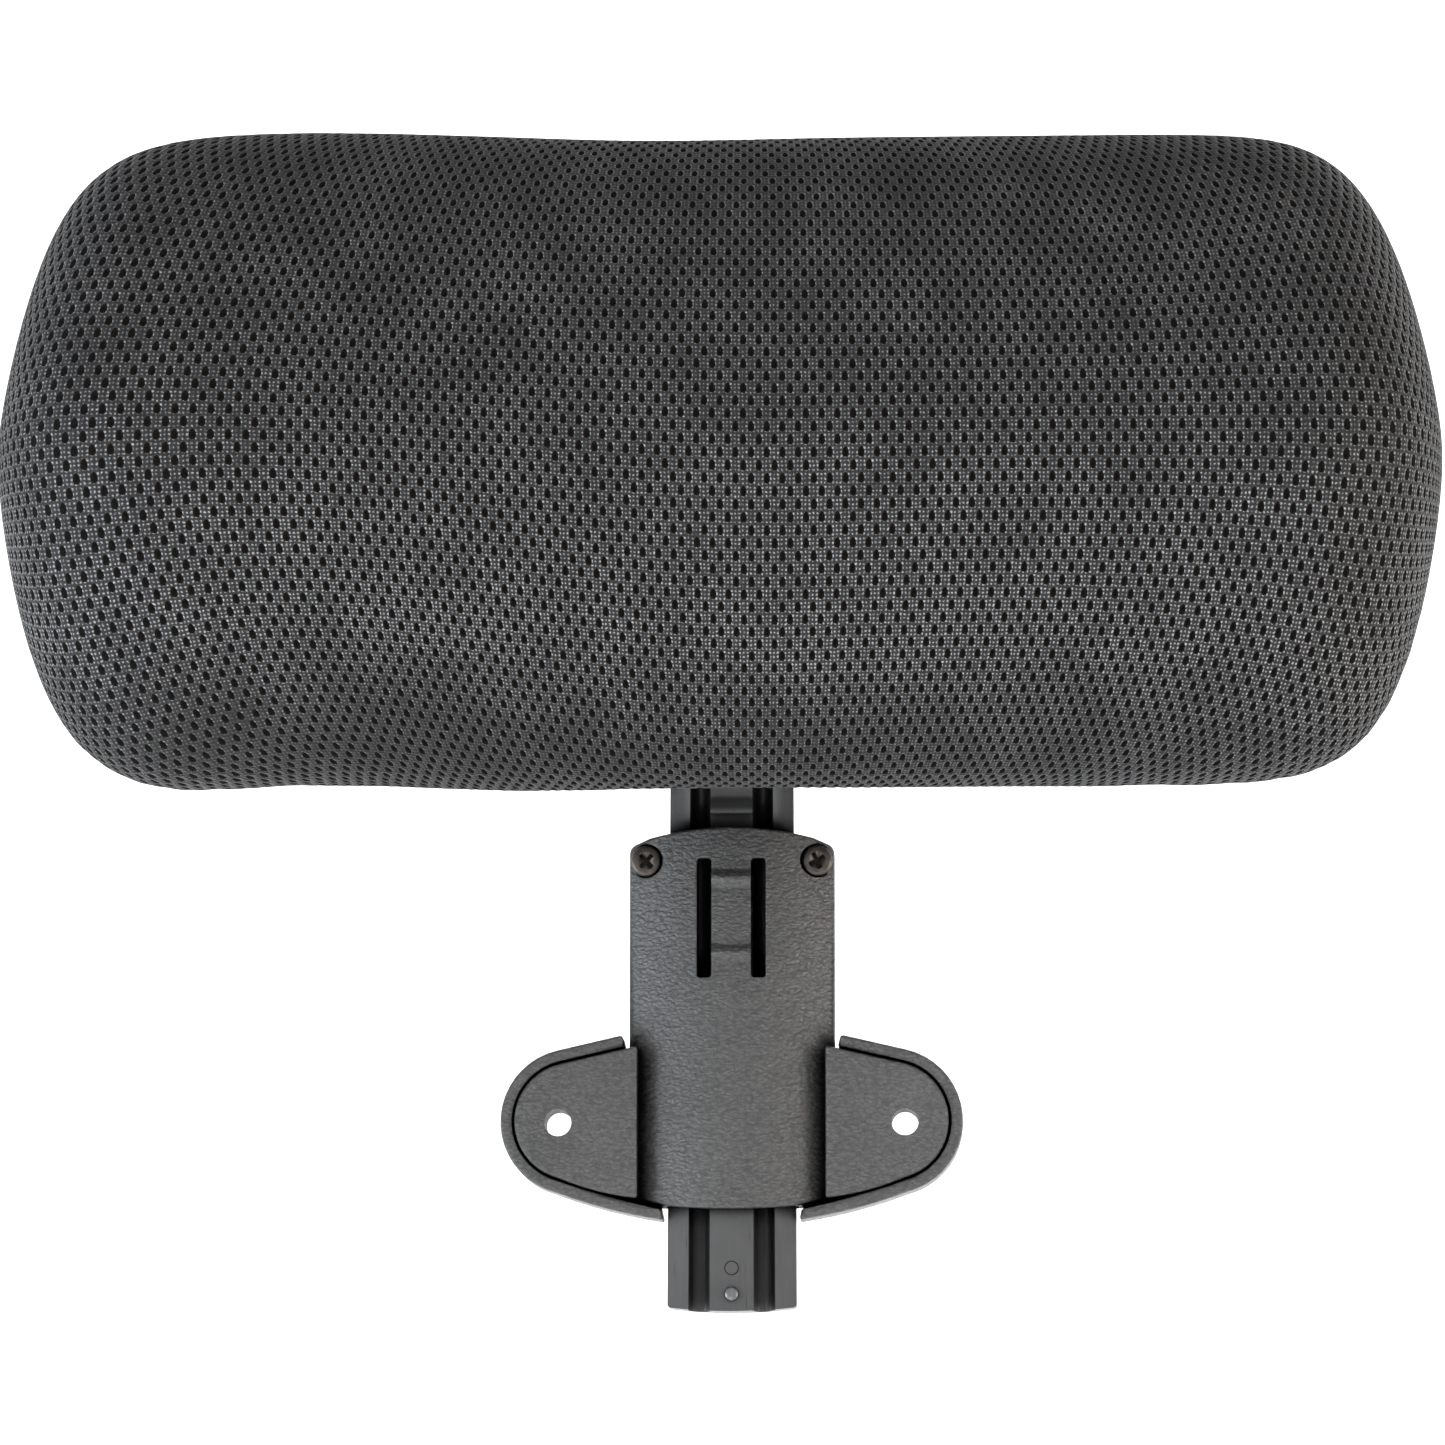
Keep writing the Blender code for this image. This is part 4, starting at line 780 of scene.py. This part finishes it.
def knit_piece(name, sheet, cells, materials):
    """A closed shell of knitted cells: outer face, a pit in each cell, plain inner face and edge wall."""
    points, faces, slots, lookup = [], [], [], {}

    def vertex(x, y, depth):
        key = (round(x * 50), round(y * 50), round(depth * 50))
        if key not in lookup:
            lookup[key] = len(points)
            points.append((x, y, depth))
        return lookup[key]

    def face(corners, slot):
        faces.append(corners)
        slots.append(slot)

    used = {(i, j) for i, j, _, _ in cells}
    for i, j, x, y in cells:
        corners = cell_corners(x, y)
        outer = [vertex(a, b, 0.0) for a, b in corners]
        inner = [vertex(a, b, FABRIC_THICKNESS) for a, b in corners]
        rim = [vertex(a, b, RIM_DEPTH) for a, b in hole_rim(x, y)]
        bottom = vertex(x, y, HOLE_DEPTH)
        for k in range(RIM_POINTS):
            face((rim[k], rim[(k + 1) % RIM_POINTS], bottom), 1)
        for k in range(6):
            first = round(k * RIM_POINTS / 6)
            last = round((k + 1) * RIM_POINTS / 6)
            for m in range(first, last):
                face((outer[k], rim[(m + 1) % RIM_POINTS], rim[m]), 0)
            face((outer[k], outer[(k + 1) % 6], rim[last % RIM_POINTS]), 0)
        face(tuple(inner[::-1]), 0)
        odd = j % 2
        left, right = i - 1 + odd, i + odd
        around = ((left, j + 1), (i - 1, j), (left, j - 1), (right, j - 1), (i + 1, j), (right, j + 1))
        for k, neighbour in enumerate(around):
            if neighbour not in used:
                m = (k + 1) % 6
                face((outer[m], outer[k], inner[k], inner[m]), 0)
    flat = np.array(points)
    u, v = lattice_to_fabric(flat[:, 0], flat[:, 1])
    placed = sample(sheet, u, v) - sample_normals(sheet, u, v) * flat[:, 2:3]
    mesh = bpy.data.meshes.new(name)
    mesh.from_pydata([tuple(p) for p in placed * MM], [], faces)
    mesh.polygons.foreach_set("material_index", slots)
    mesh.polygons.foreach_set("use_smooth", [True] * len(faces))
    fabric = mesh.attributes.new("fabric", "FLOAT_VECTOR", "POINT")
    fabric.data.foreach_set("vector", flat.astype(np.float32).ravel())
    mesh.set_sharp_from_angle(angle=math.radians(62))
    mesh.update()
    mesh.materials.append(materials["spacer_mesh"])
    mesh.materials.append(materials["hole_yarns_and_shade"])
    return add_piece(name, mesh)


def add_piece(name, mesh):
    piece = bpy.data.objects.new(name, mesh)
    bpy.context.scene.collection.objects.link(piece)
    return piece


def knitted_cover(materials):
    """The fabric in two panels that meet at the rim: the domed front, and the band tucked under the shell."""
    sheet = build_sheet()
    i, j, x, y, places = knit_cells(sheet)
    kept = ~under_shell(places)
    reach = [extent + SHEET_OVERLAP - GRID_STEP for extent in sheet_extent()]
    kept &= (np.abs(x / reach[0]) ** SHEET_POWER + np.abs(y / reach[1]) ** SHEET_POWER) < 1
    behind = places[..., 1] > RIM_Y - PANEL_SPLIT
    panels = []
    for name, chosen in (("knitted_front", kept & ~behind), ("knitted_band", kept & behind)):
        cells = list(zip(i[chosen].tolist(), j[chosen].tolist(), x[chosen].tolist(), y[chosen].tolist()))
        piece = knit_piece(name, sheet, cells, materials)
        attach(piece, "headrest")
        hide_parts("mesh_cover")
        panels.append(piece)
    return panels


def outline(count):
    """Even points round the unit outline of the cushion, anticlockwise seen from behind."""
    turns = np.linspace(0, 2 * math.pi, 1441)
    x = np.sign(np.cos(turns)) * np.abs(np.cos(turns)) ** (2 / END_POWER)
    z = np.sign(np.sin(turns)) * np.abs(np.sin(turns)) ** (2 / SIDE_POWER)
    points = np.stack([x * HALF_WIDTH, z * HALF_HEIGHT], 1)
    walked = np.concatenate([[0.0], np.cumsum(np.linalg.norm(np.diff(points, axis=0), axis=1))])
    marks = np.linspace(0, walked[-1], count, endpoint=False)
    x, z = (np.interp(marks, walked, points[:, k]) for k in range(2))
    return x / HALF_WIDTH, z / HALF_HEIGHT


def foam_rings():
    """The foam's outlines from the edge of its flat back, round the rim and up the dome."""
    x, z = outline(FOAM_POINTS)
    wide, high = HALF_WIDTH - FOAM_INSET - FOAM_CHAMFER, HALF_HEIGHT - FOAM_INSET - FOAM_CHAMFER
    rings = [np.stack([x * wide, np.full(FOAM_POINTS, FOAM_BOX[1][1]), z * high + CENTRE[2]], 1)]
    for turn in np.radians([0.0, *np.linspace(8, 84, 14)]):
        ahead = np.full(FOAM_POINTS, -math.sin(turn) * FRONT_DEPTH)
        rays = np.stack([x * HALF_WIDTH * math.cos(turn), ahead, z * HALF_HEIGHT * math.cos(turn)], 1)
        rays /= np.linalg.norm(rays, axis=1)[:, None]
        rings.append(cast(np.tile(CENTRE, (FOAM_POINTS, 1)), rays, FOAM_INSET))
    return rings


def foam_block(materials):
    """The foam inside the cover, a crowned block with a flat back where it is glued to the board."""
    shape = bmesh.new()
    loops = [[shape.verts.new(Vector(point) * MM) for point in ring] for ring in foam_rings()]
    shape.faces.new(loops[0])
    nose = shape.verts.new(Vector((0.0, FOAM_BOX[0][1], CENTRE[2])) * MM)
    for k in range(FOAM_POINTS):
        m = (k + 1) % FOAM_POINTS
        for near, far in zip(loops, loops[1:]):
            shape.faces.new((near[k], far[k], far[m], near[m]))
        shape.faces.new((loops[-1][k], nose, loops[-1][m]))
    bmesh.ops.recalc_face_normals(shape, faces=shape.faces)
    mesh = bpy.data.meshes.new("foam_block")
    shape.to_mesh(mesh)
    shape.free()
    mesh.shade_smooth()
    mesh.set_sharp_from_angle(angle=math.radians(50))
    mesh.materials.append(materials["foam"])
    piece = add_piece("foam_block", mesh)
    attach(piece, "headrest")
    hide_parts("foam_pad")
    return piece


# ---- Moulded and metal pieces ----


def finer_piece(node, materials):
    """A smooth-shaded copy of a CAD node, with its flats merged and its normals weighted by face area; its
    sharp edges stay sharp in the mesh.
    """
    source = frame["nodes"][node]
    slot = source.data.materials[0].name.split(".")[0]
    shape = bmesh.new()
    shape.from_mesh(source.data)
    bmesh.ops.remove_doubles(shape, verts=shape.verts, dist=2e-6)
    bmesh.ops.dissolve_limit(shape, angle_limit=math.radians(0.6), verts=shape.verts, edges=shape.edges)
    mesh = bpy.data.meshes.new(node + "_moulded")
    shape.to_mesh(mesh)
    shape.free()
    mesh.shade_smooth()
    mesh.set_sharp_from_angle(angle=math.radians(SHARP_ANGLE))
    mesh.materials.append(materials[slot])
    piece = add_piece(node + "_moulded", mesh)
    weighting = piece.modifiers.new("Weighted normals", "WEIGHTED_NORMAL")
    weighting.mode = "FACE_AREA"
    weighting.weight = 50
    weighting.keep_sharp = True
    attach(piece, frame["nodes"][node]["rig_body"])
    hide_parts(node)
    return piece


def board(materials):
    """The core board, trimmed so that the fabric folded over its edge covers it."""
    piece = finer_piece("core_board", materials)
    low, high = (np.array(corner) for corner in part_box("core_board"))
    middle = (low + high) / 2
    for vertex in piece.data.vertices:
        vertex.co = Vector(middle + (np.array(vertex.co) - middle) * BOARD_TRIM)
    return piece


def dress_nodes(materials, finer):
    """Each CAD node that stays shown gets its slot's material."""
    for name, node in frame["nodes"].items():
        if name in finer or node.hide_render:
            continue
        slot = node.data.materials[0].name.split(".")[0]
        for k in range(len(node.material_slots)):
            node.material_slots[k].material = materials[slot]


# ---- Studio ----

# The camera, and the place that it and the lights are aimed at, in degrees and metres.
VIEW_AZIMUTH = 2.0
VIEW_ELEVATION = -8.0
VIEW_DISTANCE = 1.6
VIEW_AIM = Vector((-0.00131, -0.020, 0.09013))
VIEW_LENS = 173.88
LIGHT_AIM = Vector((0.0, 0.0, 0.09))
# Each light's azimuth, elevation, distance, size, power in watts and colour.
LIGHTS = {
    "key_below": (-12, -46, 1.3, (0.9, 0.3), 5, (0.97, 0.985, 1.0)),
    "front_fill": (0, 38, 1.7, (1.6, 0.8), 8, (1.0, 1.0, 1.0)),
    "warm_right": (66, -12, 1.3, (0.35, 0.8), 11, (1.0, 0.93, 0.84)),
    "cool_left": (-66, -18, 1.3, (0.35, 0.8), 15, (0.84, 0.92, 1.0)),
}
WASH_PLACE = (0.0, 1.3, 1.9)
WASH_TILT = 58.0
WASH_SIZE = (2.6, 0.5)
WASH_WATTS = 120
WORLD_STRENGTH = 0.14
# The backdrop is a bowl: a round floor, a cove and a wall.
FLOOR_Z = -1.1
FLOOR_STEP = 0.6
WALL_RADIUS = 3.4
WALL_TOP = 4.0
COVE_RADIUS = 0.9
COVE_STEPS = 12
WALL_SIDES = 72
WALL_SHADE = 0.82
WALL_GLOW = 0.16


def direction(azimuth, elevation):
    """The unit vector from the object towards a place at that azimuth and elevation."""
    a, e = math.radians(azimuth), math.radians(elevation)
    return Vector((math.sin(a) * math.cos(e), -math.cos(a) * math.cos(e), math.sin(e)))


def add_camera():
    data = bpy.data.cameras.new("camera")
    data.lens = VIEW_LENS
    data.sensor_width = 36.0
    data.clip_start = 0.05
    data.clip_end = 30.0
    camera = bpy.data.objects.new("camera", data)
    back = direction(VIEW_AZIMUTH, VIEW_ELEVATION)
    camera.location = VIEW_AIM + back * VIEW_DISTANCE
    camera.rotation_euler = (-back).to_track_quat("-Z", "Y").to_euler()
    bpy.context.scene.collection.objects.link(camera)
    bpy.context.scene.camera = camera


def area_light(name, place, rotation, size, watts, colour):
    data = bpy.data.lights.new(name, "AREA")
    data.shape = "RECTANGLE"
    data.size, data.size_y = size
    data.energy = watts
    data.color = colour
    light = bpy.data.objects.new(name, data)
    light.location = place
    light.rotation_euler = rotation
    bpy.context.scene.collection.objects.link(light)


def bowl_backdrop():
    """A round pale floor that curves up into a wall all round the object."""
    flat = WALL_RADIUS - COVE_RADIUS
    profile = [(FLOOR_STEP * k, FLOOR_Z) for k in range(1, int(flat / FLOOR_STEP) + 1)]
    for k in range(COVE_STEPS + 1):
        turn = math.radians(90 * k / COVE_STEPS)
        rise = COVE_RADIUS * (1 - math.cos(turn))
        profile.append((flat + COVE_RADIUS * math.sin(turn), FLOOR_Z + rise))
    profile.append((WALL_RADIUS, WALL_TOP))
    shape = bmesh.new()
    middle = shape.verts.new((0.0, 0.0, FLOOR_Z))
    turns = [2 * math.pi * k / WALL_SIDES for k in range(WALL_SIDES)]
    rings = [[shape.verts.new((r * math.cos(t), r * math.sin(t), z)) for t in turns] for r, z in profile]
    for k in range(WALL_SIDES):
        m = (k + 1) % WALL_SIDES
        shape.faces.new((middle, rings[0][k], rings[0][m]))
        for near, far in zip(rings, rings[1:]):
            shape.faces.new((near[k], far[k], far[m], near[m]))
    mesh = bpy.data.meshes.new("backdrop")
    shape.to_mesh(mesh)
    shape.free()
    mesh.shade_smooth()
    return mesh


def studio():
    """A pale floor and wall all round, soft lights below and in front, and a wash on the wall behind."""
    mesh = bowl_backdrop()
    mesh.materials.append(studio_white(WALL_SHADE, WALL_GLOW))
    add_piece("backdrop", mesh)
    for name, (azimuth, elevation, distance, size, watts, colour) in LIGHTS.items():
        away = direction(azimuth, elevation)
        facing = (-away).to_track_quat("-Z", "Y").to_euler()
        area_light(name, LIGHT_AIM + away * distance, facing, size, watts, colour)
    tilt = (math.radians(WASH_TILT), 0.0, 0.0)
    area_light("backdrop_wash", WASH_PLACE, tilt, WASH_SIZE, WASH_WATTS, (1.0, 1.0, 1.0))
    world = bpy.data.worlds.new("studio")
    world.use_nodes = True
    background = world.node_tree.nodes["Background"]
    background.inputs["Color"].default_value = (1.0, 1.0, 1.0, 1.0)
    background.inputs["Strength"].default_value = WORLD_STRENGTH
    bpy.context.scene.world = world
    bpy.context.scene.view_settings.view_transform = "Standard"


FINER_NODES = (
    "front_housing",
    "rear_housing",
    "slide_post",
    "stop_pin",
    "housing_screw_left",
    "housing_screw_right",
    "hinge_yoke",
    "bolt_cap",
    "nut_cap",
    "rear_shell",
    "yoke_screw_1",
    "yoke_screw_2",
    "yoke_screw_3",
    "yoke_screw_4",
    "shell_screw_1",
    "shell_screw_2",
    "shell_screw_3",
    "shell_screw_4",
    "friction_washer_left",
    "friction_washer_right",
    "pivot_bolt",
)


def main():
    materials = make_materials()
    for node in FINER_NODES:
        finer_piece(node, materials)
    knitted_cover(materials)
    foam_block(materials)
    board(materials)
    dress_nodes(materials, (*FINER_NODES, "core_board"))
    studio()
    add_camera()


main()
